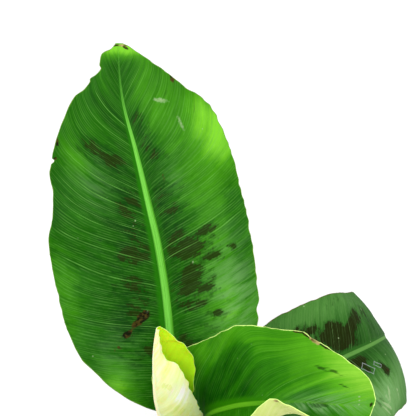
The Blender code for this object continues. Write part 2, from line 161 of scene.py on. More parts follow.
def eased(knots: Array, values: Array, at: Array) -> Array:
    """Values between knots along a monotone cubic, which never overshoots them.

    Args:
        knots: rising places of the known values.
        values: the known values.
        at: places to work out.

    Returns:
        The value at each place, held level beyond the ends.
    """
    knots, values = np.asarray(knots, float), np.asarray(values, float)
    step = np.diff(knots)
    rise = np.diff(values) / step
    slope = np.zeros_like(values)
    slope[0], slope[-1] = rise[0], rise[-1]
    near, far = 2 * step[1:] + step[:-1], step[1:] + 2 * step[:-1]
    with np.errstate(divide="ignore", invalid="ignore"):
        harmonic = (near + far) / (near / rise[:-1] + far / rise[1:])
    slope[1:-1] = np.where(rise[:-1] * rise[1:] > 0, harmonic, 0.0)
    at = np.clip(at, knots[0], knots[-1])
    k = np.clip(np.searchsorted(knots, at, side="right") - 1, 0, len(knots) - 2)
    return cubic((at - knots[k]) / step[k], step[k], (values[k], values[k + 1]), (slope[k], slope[k + 1]))


def cubic(t: Array, h: Array, ends: tuple[Array, Array], slopes: tuple[Array, Array]) -> Array:
    """The cubic that has given values and slopes at both ends of a span.

    Args:
        t: shares of the way along the span.
        h: the span's length.
        ends: values at its start and end.
        slopes: slopes at its start and end.

    Returns:
        The value at each share.
    """
    return (
        (1 + 2 * t) * (1 - t) ** 2 * ends[0]
        + t * (1 - t) ** 2 * h * slopes[0]
        + t * t * (3 - 2 * t) * ends[1]
        + t * t * (t - 1) * h * slopes[1]
    )


def unit(vectors: Array) -> Array:
    """The vectors at length one."""
    return vectors / np.maximum(np.linalg.norm(vectors, axis=-1, keepdims=True), 1e-12)


def surface_normal(points: Array) -> Array:
    """Unit normals of a grid of points: along the columns' way times along the rows' way."""
    return unit(np.cross(np.gradient(points, axis=1), np.gradient(points, axis=0)))


def curve_through(points: list[Point], samples: int = 1200) -> Array:
    """A smooth curve through points: a cubic between each two, its slopes weighted by the chords beside it.

    Args:
        points: the points in order.
        samples: how many points to return.

    Returns:
        Points of the curve at even steps of chord length.
    """
    p = np.asarray(points, float)
    chord = np.linalg.norm(np.diff(p, axis=0), axis=1)
    u = np.concatenate([[0], np.cumsum(chord)])
    pace = np.diff(p, axis=0) / chord[:, None]
    both = (chord[1:] + chord[:-1])[:, None]
    slope = np.empty_like(p)
    slope[1:-1] = (pace[:-1] * chord[1:, None] + pace[1:] * chord[:-1, None]) / both
    slope[0], slope[-1] = pace[0], 2 * pace[-1] - slope[-2]
    x = np.linspace(0, u[-1], samples)
    k = np.clip(np.searchsorted(u, x, side="right") - 1, 0, len(u) - 2)
    t, h = ((x - u[k]) / chord[k])[:, None], chord[k][:, None]
    return cubic(t, h, (p[k], p[k + 1]), (slope[k], slope[k + 1]))


def arc(at: Array, length: Array, start: Array, bend: Array) -> tuple[Array, Array]:
    """A walk along an arc: the sines and cosines of its angle, summed over the way.

    Args:
        at: distances along the arc.
        length: the arc's length.
        start: its angle at the start, in radians.
        bend: how far it turns over its length, in radians.

    Returns:
        Sideways and upward reach at each distance.
    """
    bend = np.where(np.abs(bend) < 1e-4, 1e-4, bend)
    rate = bend / np.maximum(length, 1e-9)
    return (
        (np.sin(start + rate * at) - np.sin(start)) / rate,
        (np.cos(start) - np.cos(start + rate * at)) / rate,
    )


@dataclass(frozen=True)
class Ripple:
    """Smooth unevenness: a sum of sines of seeded direction, length and phase."""

    seed: int
    size: float
    height: float
    waves: int = 9

    def at(self, x: Array, y: Array | float = 0.0) -> Array:
        """Height at each place.

        Args:
            x, y: places in the same unit as size.

        Returns:
            Heights in the unit of height, mostly between minus and plus one height.
        """
        draw = np.random.default_rng(self.seed)
        total = np.zeros(np.broadcast(x, y).shape)
        for _ in range(self.waves):
            length = self.size * draw.uniform(0.35, 1.0)
            turn, phase = draw.uniform(0, 2 * math.pi, 2)
            way = x * math.cos(turn) + y * math.sin(turn)
            total = total + np.sin(2 * math.pi * way / length + phase)
        return self.height * total / math.sqrt(self.waves)


def grid_quads(index: Array) -> Array:
    """Quads of a grid of point numbers.

    Args:
        index: rows by columns of point numbers.

    Returns:
        Four point numbers for each cell.
    """
    corners = (index[:-1, :-1], index[:-1, 1:], index[1:, 1:], index[1:, :-1])
    return np.stack([c.ravel() for c in corners], -1)


def ring_quads(rings: int, steps: int) -> Array:
    """Quads between closed rings whose points are numbered ring by ring."""
    index = np.arange(rings * steps).reshape(rings, steps)
    return grid_quads(np.concatenate([index, index[:, :1]], 1))


def strip_quads(first: Array, second: Array) -> Array:
    """Quads between two rows of point numbers, facing where first, second, next second turn outward."""
    return np.stack([first[:-1], second[:-1], second[1:], first[1:]], -1)


def make_piece(
    name: str,
    points: Array,
    quads: Array,
    finish: bpy.types.Material,
    fields: dict[str, Array] | None = None,
) -> bpy.types.Object:
    """A mesh object at the origin, smooth but for edges sharper than SHARP_ANGLE.

    Args:
        name: the piece's name.
        points: its vertices.
        quads: point numbers of its four-sided faces.
        finish: its material.
        fields: measures kept at each vertex, as numbers or vectors, by name.

    Returns:
        The object, linked into the scene.
    """
    mesh = bpy.data.meshes.new(name)
    mesh.vertices.add(len(points))
    mesh.vertices.foreach_set("co", points.astype(np.float32).ravel())
    mesh.loops.add(quads.size)
    mesh.loops.foreach_set("vertex_index", quads.astype(np.int32).ravel())
    mesh.polygons.add(len(quads))
    mesh.polygons.foreach_set("loop_start", np.arange(0, quads.size, quads.shape[1], dtype=np.int32))
    mesh.update(calc_edges=True)
    mesh.validate()
    for field, values in (fields or {}).items():
        kind, key = ("FLOAT_VECTOR", "vector") if values.ndim == 2 else ("FLOAT", "value")
        made = mesh.attributes.new(field, kind, "POINT")
        made.data.foreach_set(key, values.astype(np.float32).ravel())
    mesh.shade_smooth()
    mesh.set_sharp_from_angle(angle=math.radians(SHARP_ANGLE))
    mesh.materials.append(finish)
    piece = bpy.data.objects.new(name, mesh)
    bpy.context.scene.collection.objects.link(piece)
    return piece


def closed_sheet(upper: Array, thickness: Array) -> tuple[Array, Array]:
    """A grid thickened into a closed solid: each point's twin lies its thickness below.

    Args:
        upper: rows by columns of points, the columns running to the right of the rows' way.
        thickness: the thickness at each point.

    Returns:
        Points, the upper ones first, and quads facing outward.
    """
    lower = upper - surface_normal(upper) * thickness[..., None]
    top = np.arange(upper[..., 0].size).reshape(upper.shape[:2])
    under = top + top.size
    quads = np.concatenate(
        [
            grid_quads(top),
            grid_quads(under)[:, ::-1],
            strip_quads(top[0], under[0]),
            strip_quads(under[-1], top[-1]),
            strip_quads(under[:, 0], top[:, 0]),
            strip_quads(top[:, -1], under[:, -1]),
        ]
    )
    return np.concatenate([upper.reshape(-1, 3), lower.reshape(-1, 3)]), quads


class Signal:
    """A number, place or colour on its way through a material's nodes. A sum on it adds a node."""

    def __init__(self, graph: "Graph", socket: Socket) -> None:
        """Keeps the graph and the node output that carries it."""
        self.graph = graph
        self.socket = socket

    def __add__(self, other: "Value") -> "Signal":
        """The sum of both numbers."""
        return self.graph.math("ADD", self, other)

    def __sub__(self, other: "Value") -> "Signal":
        """This number less the other."""
        return self.graph.math("SUBTRACT", self, other)

    def __mul__(self, other: "Value") -> "Signal":
        """The product of both numbers."""
        return self.graph.math("MULTIPLY", self, other)

    def __abs__(self) -> "Signal":
        """The number without its sign."""
        return self.graph.math("ABSOLUTE", self)

    def __round__(self) -> "Signal":
        """The nearest whole number."""
        return self.graph.math("ROUND", self)

    def __floor__(self) -> "Signal":
        """The whole number below."""
        return self.graph.math("FLOOR", self)

    def swing(self, size: float) -> "Signal":
        """Noise from 0 to 1 made to swing about nothing, size wide in all."""
        return (self - 0.5) * size


Value = Signal | float | Color | Point


class Graph:
    """A material's nodes, added and joined one call at a time."""

    def __init__(self, name: str) -> None:
        """Starts a material with a plain Principled shader.

        Args:
            name: the material's name.
        """
        self.material = bpy.data.materials.new(name)
        self.material.use_nodes = True
        self.tree = self.material.node_tree
        self.shader = self.tree.nodes["Principled BSDF"]

    def put(self, socket: Socket, value: Value) -> None:
        """Links a socket to a signal, or sets it to a plain value.

        Args:
            socket: a node's input.
            value: the signal or plain value.
        """
        if isinstance(value, Signal):
            self.tree.links.new(value.socket, socket)
        else:
            socket.default_value = value

    def make(
        self, kind: str, inputs: dict[str | int, Value], out: str | int = 0, **settings: object
    ) -> Signal:
        """A new node with its settings and inputs.

        Args:
            kind: Blender's name of the node.
            inputs: signals or plain values, by the input's name or number.
            out: name or number of the output to return.
            **settings: the node's own options.

        Returns:
            The signal of that output.
        """
        node = self.tree.nodes.new(kind)
        for key, value in settings.items():
            setattr(node, key, value)
        for key, value in inputs.items():
            self.put(node.inputs[key], value)
        return Signal(self, node.outputs[out])

    def math(self, operation: str, first: Value, second: Value = 0.0) -> Signal:
        """One sum of two numbers."""
        return self.make("ShaderNodeMath", {0: first, 1: second}, operation=operation)

    def number(self, name: str) -> Signal:
        """A number that the mesh keeps at its vertices."""
        return self.make("ShaderNodeAttribute", {}, "Fac", attribute_name=name)

    def split(self, vector: Signal) -> tuple[Signal, Signal, Signal]:
        """The three parts of a vector.

        Args:
            vector: the vector.

        Returns:
            Its x, y and z.
        """
        node = self.tree.nodes.new("ShaderNodeSeparateXYZ")
        self.put(node.inputs[0], vector)
        return Signal(self, node.outputs[0]), Signal(self, node.outputs[1]), Signal(self, node.outputs[2])

    def parts(self, name: str) -> tuple[Signal, Signal, Signal]:
        """The three parts of a vector that the mesh keeps at its vertices."""
        return self.split(self.make("ShaderNodeAttribute", {}, "Vector", attribute_name=name))

    def coordinates(self) -> Signal:
        """Object coordinates, in metres."""
        return self.make("ShaderNodeTexCoord", {}, "Object")

    def place(self, x: Value, y: Value, z: Value = 0.0) -> Signal:
        """A vector of three numbers."""
        return self.make("ShaderNodeCombineXYZ", {0: x, 1: y, 2: z})

    def stretched(self, where: Signal, scale: Point, turn: float = 0.0) -> Signal:
        """A place scaled along each axis and turned about Z, the turn in radians."""
        inputs = {"Vector": where, "Scale": scale, "Rotation": (0.0, 0.0, turn)}
        return self.make("ShaderNodeMapping", inputs)

    def noise(self, where: Signal, scale: float = 1.0, detail: float = 3.0, rough: float = 0.5) -> Signal:
        """Smooth noise from 0 to 1 at a place."""
        inputs = {"Vector": where, "Scale": scale, "Detail": detail, "Roughness": rough}
        return self.make("ShaderNodeTexNoise", inputs, "Fac")

    def step(self, value: Signal, low: float, high: float, to: tuple[float, float] = (0.0, 1.0)) -> Signal:
        """A soft step from to[0] at low to to[1] at high."""
        inputs = dict(enumerate((value, low, high, *to)))
        return self.make("ShaderNodeMapRange", inputs, interpolation_type="SMOOTHSTEP")

    def mix(self, share: Value, first: Value, second: Value) -> Signal:
        """The first colour with a share of the second laid over it."""
        return self.make("ShaderNodeMix", {0: share, 6: first, 7: second}, 2, data_type="RGBA")

    def ramp(self, value: Signal, stops: tuple[tuple[float, Color], ...]) -> Signal:
        """Colours between stops along a number.

        Args:
            value: the number.
            stops: places of the stops and the colour at each.

        Returns:
            The colour.
        """
        node = self.tree.nodes.new("ShaderNodeValToRGB")
        elements = node.color_ramp.elements
        while len(elements) < len(stops):
            elements.new(1.0)
        for element, (at, color) in zip(elements, stops):
            element.position = at
            element.color = color
        self.put(node.inputs[0], value)
        return Signal(self, node.outputs[0])

    def bump(self, height: Signal, distance: float) -> None:
        """Fine relief on the shader, the distance in metres for a height of one."""
        relief = self.make("ShaderNodeBump", {"Height": height, "Distance": distance, "Strength": 1.0})
        self.put(self.shader.inputs["Normal"], relief)

    def finish(
        self, color: Value, roughness: Value, specular: float, **sockets: float
    ) -> bpy.types.Material:
        """Sets the shader's own values.

        Args:
            color: the base colour.
            roughness: the roughness.
            specular: the specular level.
            **sockets: plain values of other sockets, by name with _ for a space.

        Returns:
            The material.
        """
        self.put(self.shader.inputs["Base Color"], color)
        self.put(self.shader.inputs["Roughness"], roughness)
        self.shader.inputs["Specular IOR Level"].default_value = specular
        for key, value in sockets.items():
            self.shader.inputs[key.replace("_", " ")].default_value = value
        return self.material


class Mark(Enum):
    """What a patch on a blade is: painted light or shade in the light field, a pale film that is partly a
    painted sheen, or a mark of the leaf's own.
    """

    # Raises the light field: painted light, where light falls or shines through; a few narrow patches draw pale
    # lines and a paler tip
    GLOW = "lighter"
    # Lowers the light field: painted shade and painted shadow
    SHADE = "shade"
    BLOTCH = "blotch"
    # A pale film: partly the leaf's waxy bloom, partly a painted sheen and painted highlights
    BLOOM = "bloom_and_sheen"
    SCUFF = "scuff"
    ROT = "rot"
    DRY = "dry"


@dataclass(frozen=True)
class Patch:
    """A soft oval patch on a blade, in millimetres from its start and from the midrib, right positive."""

    mark: Mark
    along: float
    across: float
    length: float
    width: float
    strength: float = 1.0
    turn: float = 0.0
    power: float = 1.0

    def at(self, along: Array, across: Array) -> Array:
        """A bell over the oval, turned from the rib's way. A higher power flattens its top.

        Args:
            along, across: places in millimetres.

        Returns:
            The patch's strength at each place.
        """
        angle = math.radians(self.turn)
        x, y = along - self.along, across - self.across
        way = (x * math.cos(angle) + y * math.sin(angle)) / self.length
        side = (y * math.cos(angle) - x * math.sin(angle)) / self.width
        return self.strength * np.exp(-((way**2 + side**2) ** self.power))


def marks(mark: Mark, *ovals: tuple[float, ...]) -> tuple[Patch, ...]:
    """Patches of one kind, each from its along, across, length, width, strength, turn and power."""
    return tuple(Patch(mark, *oval) for oval in ovals)


@dataclass(frozen=True)
class Notch:
    """A bite out of a blade's margin: side, place along it, depth and half length in millimetres."""

    side: int
    along: float
    depth: float
    length: float

    def at(self, along: Array) -> Array:
        """Depth of the bite at each place along the blade, in metres."""
        return MM * self.depth * np.exp(-(((along - self.along) / self.length) ** 4))


@dataclass(frozen=True)
class Scrape:
    """A scraped box outline on a blade: its middle, half sizes in millimetres, and turn in degrees."""

    along: float
    across: float
    length: float
    width: float
    turn: float


class Reading:
    """What a leaf's mesh keeps at its vertices, and the noises that run along its veins, as signals.

    The noises' cells are counted a metre: many across a vein and few along it, so each is a long streak.
    """

    def __init__(self, g: Graph) -> None:
        """Reads the measures and makes the noises.

        Args:
            g: the material's graph.
        """
        self.number, self.line, self.reach = g.parts("vein")
        self.run, self.across, self.edge = g.parts("place")
        self.upper = g.number("upper")
        self.blade = g.number("blade")
        self.keel = g.number("keel")
        self.where = g.coordinates()
        self.fibre = g.noise(g.place(self.line * 1100.0, self.reach * 38.0), detail=2.0)
        self.grain = g.noise(g.place(self.line * 900.0, self.reach * 330.0), 1.0, 3.0, 0.7)
        self.band_place = g.place(self.line * 142.0, self.reach * 22.0, 4.0)
        self.band = g.noise(self.band_place, detail=3.0, rough=0.6)
        self.cloud = g.noise(self.where, scale=38.0, detail=4.0, rough=0.6)


@dataclass(frozen=True)
class LeafFinish:
    """Colours and surface of one leaf. The upper greens run from deep to lime with the light field of painted
    light and shade.
    """

    deep: Color = skin(24, 64, 4)
    body: Color = skin(42, 108, 10)
    light: Color = skin(74, 156, 26)
    lime: Color = skin(134, 220, 54)
    rib: Color = skin(136, 230, 90)
    # Painted shade in the groove beside the midrib
    rib_groove_shade: Color = skin(46, 124, 26)
    vein: Color = skin(116, 188, 84)
    vein_strength: float = 0.6
    fine_strength: float = 0.22
    blotch: Color = skin(36, 50, 12)
    blotch_strength: float = 0.9
    margin: Color = skin(126, 168, 60)
    margin_width: float = 0.5
    under: Color = skin(104, 148, 78)
    under_pale: Color = skin(150, 184, 112)
    under_rib: Color = skin(186, 206, 120)
    # The underside's pale film: waxy bloom with painted highlights
    under_bloom_and_sheen: Color = skin(170, 196, 140)
    under_streak: float = 1.0
    roughness: float = 0.40
    streak: float = 0.30
    cloud: float = 0.16
    dust: float = 0.7
    rib_end: float = 400.0
    glow_through: float = 0.0
    scrapes: tuple[Scrape, ...] = ()

    def material(self, name: str) -> bpy.types.Material:
        """The leaf's material: greens that follow painted light and shade, blotches, veins, midrib, marks,
        margin and paler underside.

        Args:
            name: the material's name.

        Returns:
            The material.
        """
        g = Graph(name)
        r = Reading(g)
        # The light field, mostly painted light and shade, picks the green; streaks and clouds of noise run over
        # it first
        light = g.number("light")
        for source, share in (
            (r.fibre, 0.6 * self.streak),
            (r.grain, 0.5 * self.streak),
            (r.band, 1.6 * self.streak),
            (r.cloud, 2.0 * self.cloud),
        ):
            light = light + source.swing(share)
        color = g.ramp(light, ((0.0, self.deep), (0.34, self.body), (0.66, self.light), (1.0, self.lime)))
        # The pale film over the greens: partly waxy bloom, partly a painted sheen
        bloom_and_sheen = g.number("bloom_and_sheen") * g.step(g.noise(r.band_place, 1.7, 4.0, 0.65), 0.35, 0.65)
        color = g.mix(bloom_and_sheen * 0.5, color, BLOOM_AND_SHEEN_COLOR)
        stain, dim = self.stains(g, r)
        color = g.mix(dim, color, self.deep)
        color = g.mix(stain, color, self.blotch)
        vein, fine = self.veins(g, r)
        fine = fine * g.step(stain, 0.0, 1.0, (self.fine_strength, 0.45 * self.fine_strength))
        color = g.mix(fine, color, self.vein)
        color = g.mix(vein * self.vein_strength, color, self.vein)
        color = self.midrib(g, r, color)
        color = self.scratches(g, r, color)

        mottle = g.noise(r.where, scale=300.0, detail=4.0, rough=0.6)
        rot = g.step(g.number("rot") + mottle.swing(1.1), 0.42, 0.62, (0.0, 0.92))
        color = g.mix(rot, color, g.mix(g.step(mottle, 0.45, 0.62), *ROT_COLORS))
        coarse = g.noise(r.where, scale=150.0, detail=4.0, rough=0.6)
        wide = MM * self.margin_width
        rim = g.step(r.edge - coarse.swing(0.0016), 1.35 * wide, 0.5 * wide) * r.blade
        color = g.mix(rim * 0.9, color, self.margin)
        dry = g.step(g.number("dry") + coarse.swing(0.9), 0.38, 0.6, (0.0, 0.9))
        dry_color = g.mix(g.step(coarse, 0.46, 0.62), *DRY_COLORS)
        color = g.mix(dry, color, dry_color)

        below = self.underside(g, r, vein, bloom_and_sheen, stain)
        below = g.mix(rim, below, self.margin)
        below = g.mix(dry, below, dry_color)
        color = g.mix(r.upper, below, color)
        rough = g.step(r.upper, 0.0, 1.0, (0.62, self.roughness)) + bloom_and_sheen * 0.15 + r.fibre.swing(0.12)
        g.bump(r.fibre * 0.6 + vein * 0.7 + r.band * 0.6, 0.00022)
        return g.finish(color, rough, 0.035, Subsurface_Weight=self.glow_through, Subsurface_Scale=0.004)

    def stains(self, g: Graph, r: Reading) -> tuple[Signal, Signal]:
        """The dark blotches and the dimmer green round them.

        A blotch ends raggedly, because each narrow strip between fine veins has its own noise.

        Args:
            g: the material's graph.
            r: the leaf's measures.

        Returns:
            The blotches' mask and the dimmer green's.
        """
        strip = math.floor(r.number * 9.0)
        ragged = g.noise(g.place(strip * 0.37, r.reach * 105.0, 7.3), 1.0, 4.0, 0.65)
        wide = g.noise(g.place(r.line * 80.0, r.reach * 50.0, 2.2), 1.0, 4.0, 0.6)
        share = g.number("blotch")
        uneven = (ragged.swing(0.95) + wide.swing(1.0)) * g.step(share, 0.0, 0.3, (0.55, 1.0))
        total = share * 0.42 + uneven
        stain = g.step(total, 0.235, 0.275) * g.step(r.fibre, 0.25, 0.5, (0.75, 1.0))
        return stain * self.blotch_strength, g.step(total, 0.08, 0.20, (0.0, 0.5))

    def veins(self, g: Graph, r: Reading) -> tuple[Signal, Signal]:
        """The side veins, each with its own strength, and the fine lines, five to each gap.

        Args:
            g: the material's graph.
            r: the leaf's measures.

        Returns:
            The side veins' mask and the fine lines'.
        """
        off = abs(r.number - round(r.number)) * (VEIN_GAP / MM)
        which = g.place(round(r.number), g.math("GREATER_THAN", r.across, 0.0))
        own = g.make("ShaderNodeTexWhiteNoise", {"Vector": which}, "Value", noise_dimensions="2D")
        vein = g.step(off, 0.62, 0.1) * g.step(own, 0.25, 0.95, (0.1, 1.0))
        broken = g.noise(r.band_place, scale=2.6, detail=2.0)
        vein = vein * g.step(broken, 0.32, 0.62, (0.25, 1.0)) * r.blade * g.step(r.edge, 0.002, 0.016)
        five = r.number * 5.0
        fine = g.step(abs(five - round(five)), 0.34, 0.08)
        fine = fine * g.step(g.noise(r.band_place, 3.0, 3.0, 0.7), 0.38, 0.62)
        return vein, fine * r.blade

    def midrib(self, g: Graph, r: Reading, color: Signal) -> Signal:
        """Lays the pale midrib, paler on its left side as painted light, and the groove beside it, darkened as
        painted shade and wider on the left, over the colour.

        Args:
            g: the material's graph.
            r: the leaf's measures.
            color: the colour so far.

        Returns:
            The colour with the midrib.
        """
        streak = g.noise(g.place(r.across * 1700.0, r.run * 25.0), detail=2.0)
        fade = g.step(r.run, self.rib_end * MM - 0.08, self.rib_end * MM, (1.0, 0.2))
        # Painted shade in the groove, stronger on the left
        groove_shade = g.step(r.keel + r.fibre.swing(0.6), 2.7, 1.5)
        groove_shade = groove_shade * g.step(r.across, 0.001, -0.001, (0.35, 0.9))
        color = g.mix(groove_shade * fade, color, self.rib_groove_shade)
        # The midrib paler on its left: painted light, with streaks along it
        tone = g.step(streak, 0.35, 0.7) * 0.6 + g.step(r.across, 0.0, 0.0032, (0.0, 0.55))
        return g.mix(g.step(r.keel, 1.06, 0.6) * fade, color, g.mix(tone, self.rib, self.light))

    def scratches(self, g: Graph, r: Reading, color: Signal) -> Signal:
        """Lays pale scuffs, specks of dust and scraped outlines over the colour.

        Args:
            g: the material's graph.
            r: the leaf's measures.
            color: the colour so far.

        Returns:
            The colour with the scratches.
        """
        scuff = g.number("scuff") + g.noise(r.where, scale=420.0, detail=3.0) * 0.9
        color = g.mix(g.step(scuff, 0.86, 1.36, (0.0, 0.7)), color, SCUFF_COLOR)
        speck = g.make("ShaderNodeTexVoronoi", {"Vector": r.where, "Scale": 85.0}, "Distance")
        dots = g.step(speck, 0.075, 0.04) * g.step(r.cloud, 0.52, 0.6)
        color = g.mix(dots * self.dust, color, SCUFF_COLOR)
        for scrape in self.scrapes:
            cosine, sine = math.cos(math.radians(scrape.turn)), math.sin(math.radians(scrape.turn))
            x = (r.run - scrape.along * MM) * (1 / MM)
            y = (r.across - scrape.across * MM) * (1 / MM)
            way = abs(x * cosine + y * sine) - scrape.length
            side = abs(y * cosine - x * sine) - scrape.width
            shaky = g.noise(r.where, scale=350.0, detail=3.0).swing(1.6)
            off = abs(g.math("MAXIMUM", way, side) + shaky)
            color = g.mix(g.step(off, 0.5, 0.15, (0.0, 0.5)), color, SCRAPE_COLOR)
        return color

    def underside(self, g: Graph, r: Reading, vein: Signal, bloom_and_sheen: Signal, stain: Signal) -> Signal:
        """The paler underside, with bands, veins, bloom with painted highlights, the blotches showing through,
        and the keel.

        Args:
            g: the material's graph.
            r: the leaf's measures.
            vein, bloom_and_sheen, stain: masks of the side veins, the bloom with its painted sheen, and the
                blotches.

        Returns:
            The underside's colour.
        """
        half = 0.5 * self.under_streak
        below = g.mix(g.step(r.band, 0.3, 0.7, (0.5 - half, 0.5 + half)), self.under, self.under_pale)
        below = g.mix(g.step(r.cloud, 0.5, 0.62, (0.0, 0.6)), below, self.under_pale)
        below = g.mix(vein * 0.4, below, self.under_rib)
        # Bloom with painted highlights on the underside
        below = g.mix(bloom_and_sheen * 0.75, below, self.under_bloom_and_sheen)
        below = g.mix(stain * 0.35, below, self.blotch)
        return g.mix(g.step(r.keel, 1.05, 0.8), below, self.under_rib)


@dataclass
class Rows:
    """The rows of a leaf's grid, from the sheath's foot to the tip: a value or a column of one for each.

    In order: the distance run, the share of the blade's length, millimetres from the blade's start, the
    station, the channel's turn and half width, the thickness at the keel and at the margin, and the
    midrib's half width.
    """

    at: Array
    along: Array
    blade_mm: Array
    station: Array
    wrap: Array
    channel: Array
    keel: Array
    rim: Array
    rib_half: Array


@dataclass
class Leaf:
    """One leaf, from the foot of its sheath to its tip. Positions in metres, angles in degrees.

    Stations run from 0 at the sheath's foot over 1 at the blade's start to 2 at the tip. Half widths left
    and right of the midrib are in millimetres at shares of the blade's length. The channel's half widths,
    also in millimetres, are those at the leafstalk's middle and at STATIONS. A fold is the angle at which a
    half rises from the channel, and a bend is how far it turns from there to its margin, both at stations.
    A sweep is how far a side vein runs forward for each metre outward, at shares of the blade's length.
    """

    name: str
    node: str
    slot: str
    finish: LeafFinish
    heading: float
    radius: float
    mouth: float
    blade_start: float
    rib: tuple[Point, ...]
    sides: tuple[tuple[float, Point], ...]
    half_left: Knots
    half_right: Knots
    seed: int
    fold_left: Knots = ((0, 1, 1.3, 2), (0, 25, 10, 5))
    fold_right: Knots = ((0, 1, 1.3, 2), (0, 25, 10, 5))
    bend_left: Knots = ((0, 1, 1.3, 2), (0, 10, -25, -20))
    bend_right: Knots = ((0, 1, 1.3, 2), (0, 10, -22, -20))
    sweep_left: Knots = ((0.0, 0.3, 0.6, 0.85, 1.0), (0.0, 0.2, 0.45, 0.9, 1.6))
    sweep_right: Knots = ((0.0, 0.3, 0.6, 0.85, 1.0), (0.0, 0.25, 0.5, 0.9, 1.6))
    channel: tuple[float, ...] = (8.0, 6.0, 5.0, 4.0, 1.2)
    waves: tuple[tuple[float, float], ...] = ((0.003, 4.0), (0.003, 5.0))
    notches: tuple[Notch, ...] = ()
    patches: tuple[Patch, ...] = ()
    # The light field's level from the channel to the margin; the patches add painted light and shade to it
    tone: Knots = ((0.0, 0.3, 1.0), (0.20, 0.28, 0.42))
    rib_width: Knots = ((1.0, 1.15, 1.5, 1.8, 2.0), (4.6, 4.2, 3.4, 1.7, 0.7))
    teeth: tuple[float, float] = (0.35, 0.6)
    blade_rows: int = 250
    blade_columns: int = 50

    CHANNEL_COLUMNS = 9
    SHEATH_ROWS = 34
    STALK_ROWS = 30

    def keel_line(self) -> tuple[Array, Array]:
        """The keel's curve: straight up inside the stem, then out along the leafstalk and the midrib.

        Returns:
            Points of the curve, and the distance run at each.
        """
        angle = math.radians(self.heading)
        foot = [
            (self.radius * math.cos(angle), self.radius * math.sin(angle), z)
            for z in (*np.linspace(SOIL_TOP - STEM_DEPTH, self.mouth - 0.005, 4), self.mouth)
        ]
        path = curve_through(foot + list(self.rib))
        return path, np.concatenate([[0], np.cumsum(np.linalg.norm(np.diff(path, axis=0), axis=1))])

    def mouth_station(self) -> float:
        """The station of the sheath's mouth."""
        return (self.mouth - SOIL_TOP + STEM_DEPTH) / self.blade_start

    def spacing(self, length: float) -> Array:
        """Distances run at the grid's rows: even up the sheath and leafstalk, closer at the blade's ends.

        Args:
            length: the leaf's whole length.

        Returns:
            The distance run at each row.
        """
        start, mouth = self.blade_start, self.mouth_station() * self.blade_start
        sheath = np.linspace(0, mouth, self.SHEATH_ROWS, endpoint=False)
        stalk = np.linspace(mouth, start, self.STALK_ROWS, endpoint=False)
        even = np.linspace(0, 1, self.blade_rows)
        share = 0.45 * (0.5 - 0.5 * np.cos(np.pi * even)) + 0.55 * even
        return np.concatenate([sheath, stalk, start + (length - start) * share])

    def rows(self, length: float) -> Rows:
        """Works out what holds for each row.

        Args:
            length: the leaf's whole length.

        Returns:
            The rows' measures.
        """
        start = self.blade_start
        mouth = self.mouth_station()
        closed = mouth - MOUTH_LENGTH / start
        stalk = mouth + STALK_MIDDLE * (1 - mouth)
        at = self.spacing(length)
        along = np.clip((at - start) / (length - start), 0, 1)
        station = np.where(at < start, at / start, 1 + along)

        def column(knots: tuple[float, ...], values: tuple[float, ...]) -> Array:
            """Values at the rows' stations, as a column."""
            return eased(knots, values, station)[:, None]

        turns = (SHEATH_WRAP, SHEATH_WRAP, MOUTH_WRAP) + CHANNEL_TURN
        wrap = np.radians(column((0.0, closed, mouth) + STATIONS, turns))
        mouth_half = self.radius / MM * math.radians(MOUTH_WRAP)
        stalk_half = MM * column((mouth, stalk) + STATIONS, (mouth_half,) + self.channel)
        walls = (SHEATH_WALL, SHEATH_WALL, STALK_KEEL) + KEEL_THICKNESS
        margins = (SHEATH_MARGIN, SHEATH_MARGIN) + (BLADE_THICKNESS,) * 3
        return Rows(
            at=at,
            along=along,
            blade_mm=(at - start) / MM,
            station=station,
            wrap=wrap,
            channel=np.where(station[:, None] <= mouth, self.radius * wrap, stalk_half),
            keel=column((0.0, mouth, stalk) + STATIONS, walls),
            rim=column((0.0, mouth, 1.0, 1.1, 2.0), margins),
            rib_half=MM * column(*self.rib_width),
        )

    def frame_at(self, rows: Rows) -> tuple[Array, Array, Array]:
        """Place, sideways and upward directions of the keel at each row.

        The side reference stays the sheath's own up to the mouth, then eases through the leaf's sides. It
        is made square to the way forward, and up is side times forward.

        Args:
            rows: the rows' measures.

        Returns:
            Places, sideways directions and upward directions.
        """
        path, run = self.keel_line()
        heading = np.gradient(path, run, axis=0)
        place = np.stack([np.interp(rows.at, run, path[:, i]) for i in range(3)], 1)
        forward = unit(np.stack([np.interp(rows.at, run, heading[:, i]) for i in range(3)], 1))
        angle = math.radians(self.heading)
        own = (math.sin(angle), -math.cos(angle), 0.0)
        references = ((0.0, own), (self.mouth_station(), own), *self.sides)
        stations = [station for station, _ in references]
        sides = unit(np.array([side for _, side in references], float))
        side = np.stack([eased(stations, sides[:, i], rows.station) for i in range(3)], 1)
        side = unit(side - (side * forward).sum(1, keepdims=True) * forward)
        return place, side, np.cross(side, forward)

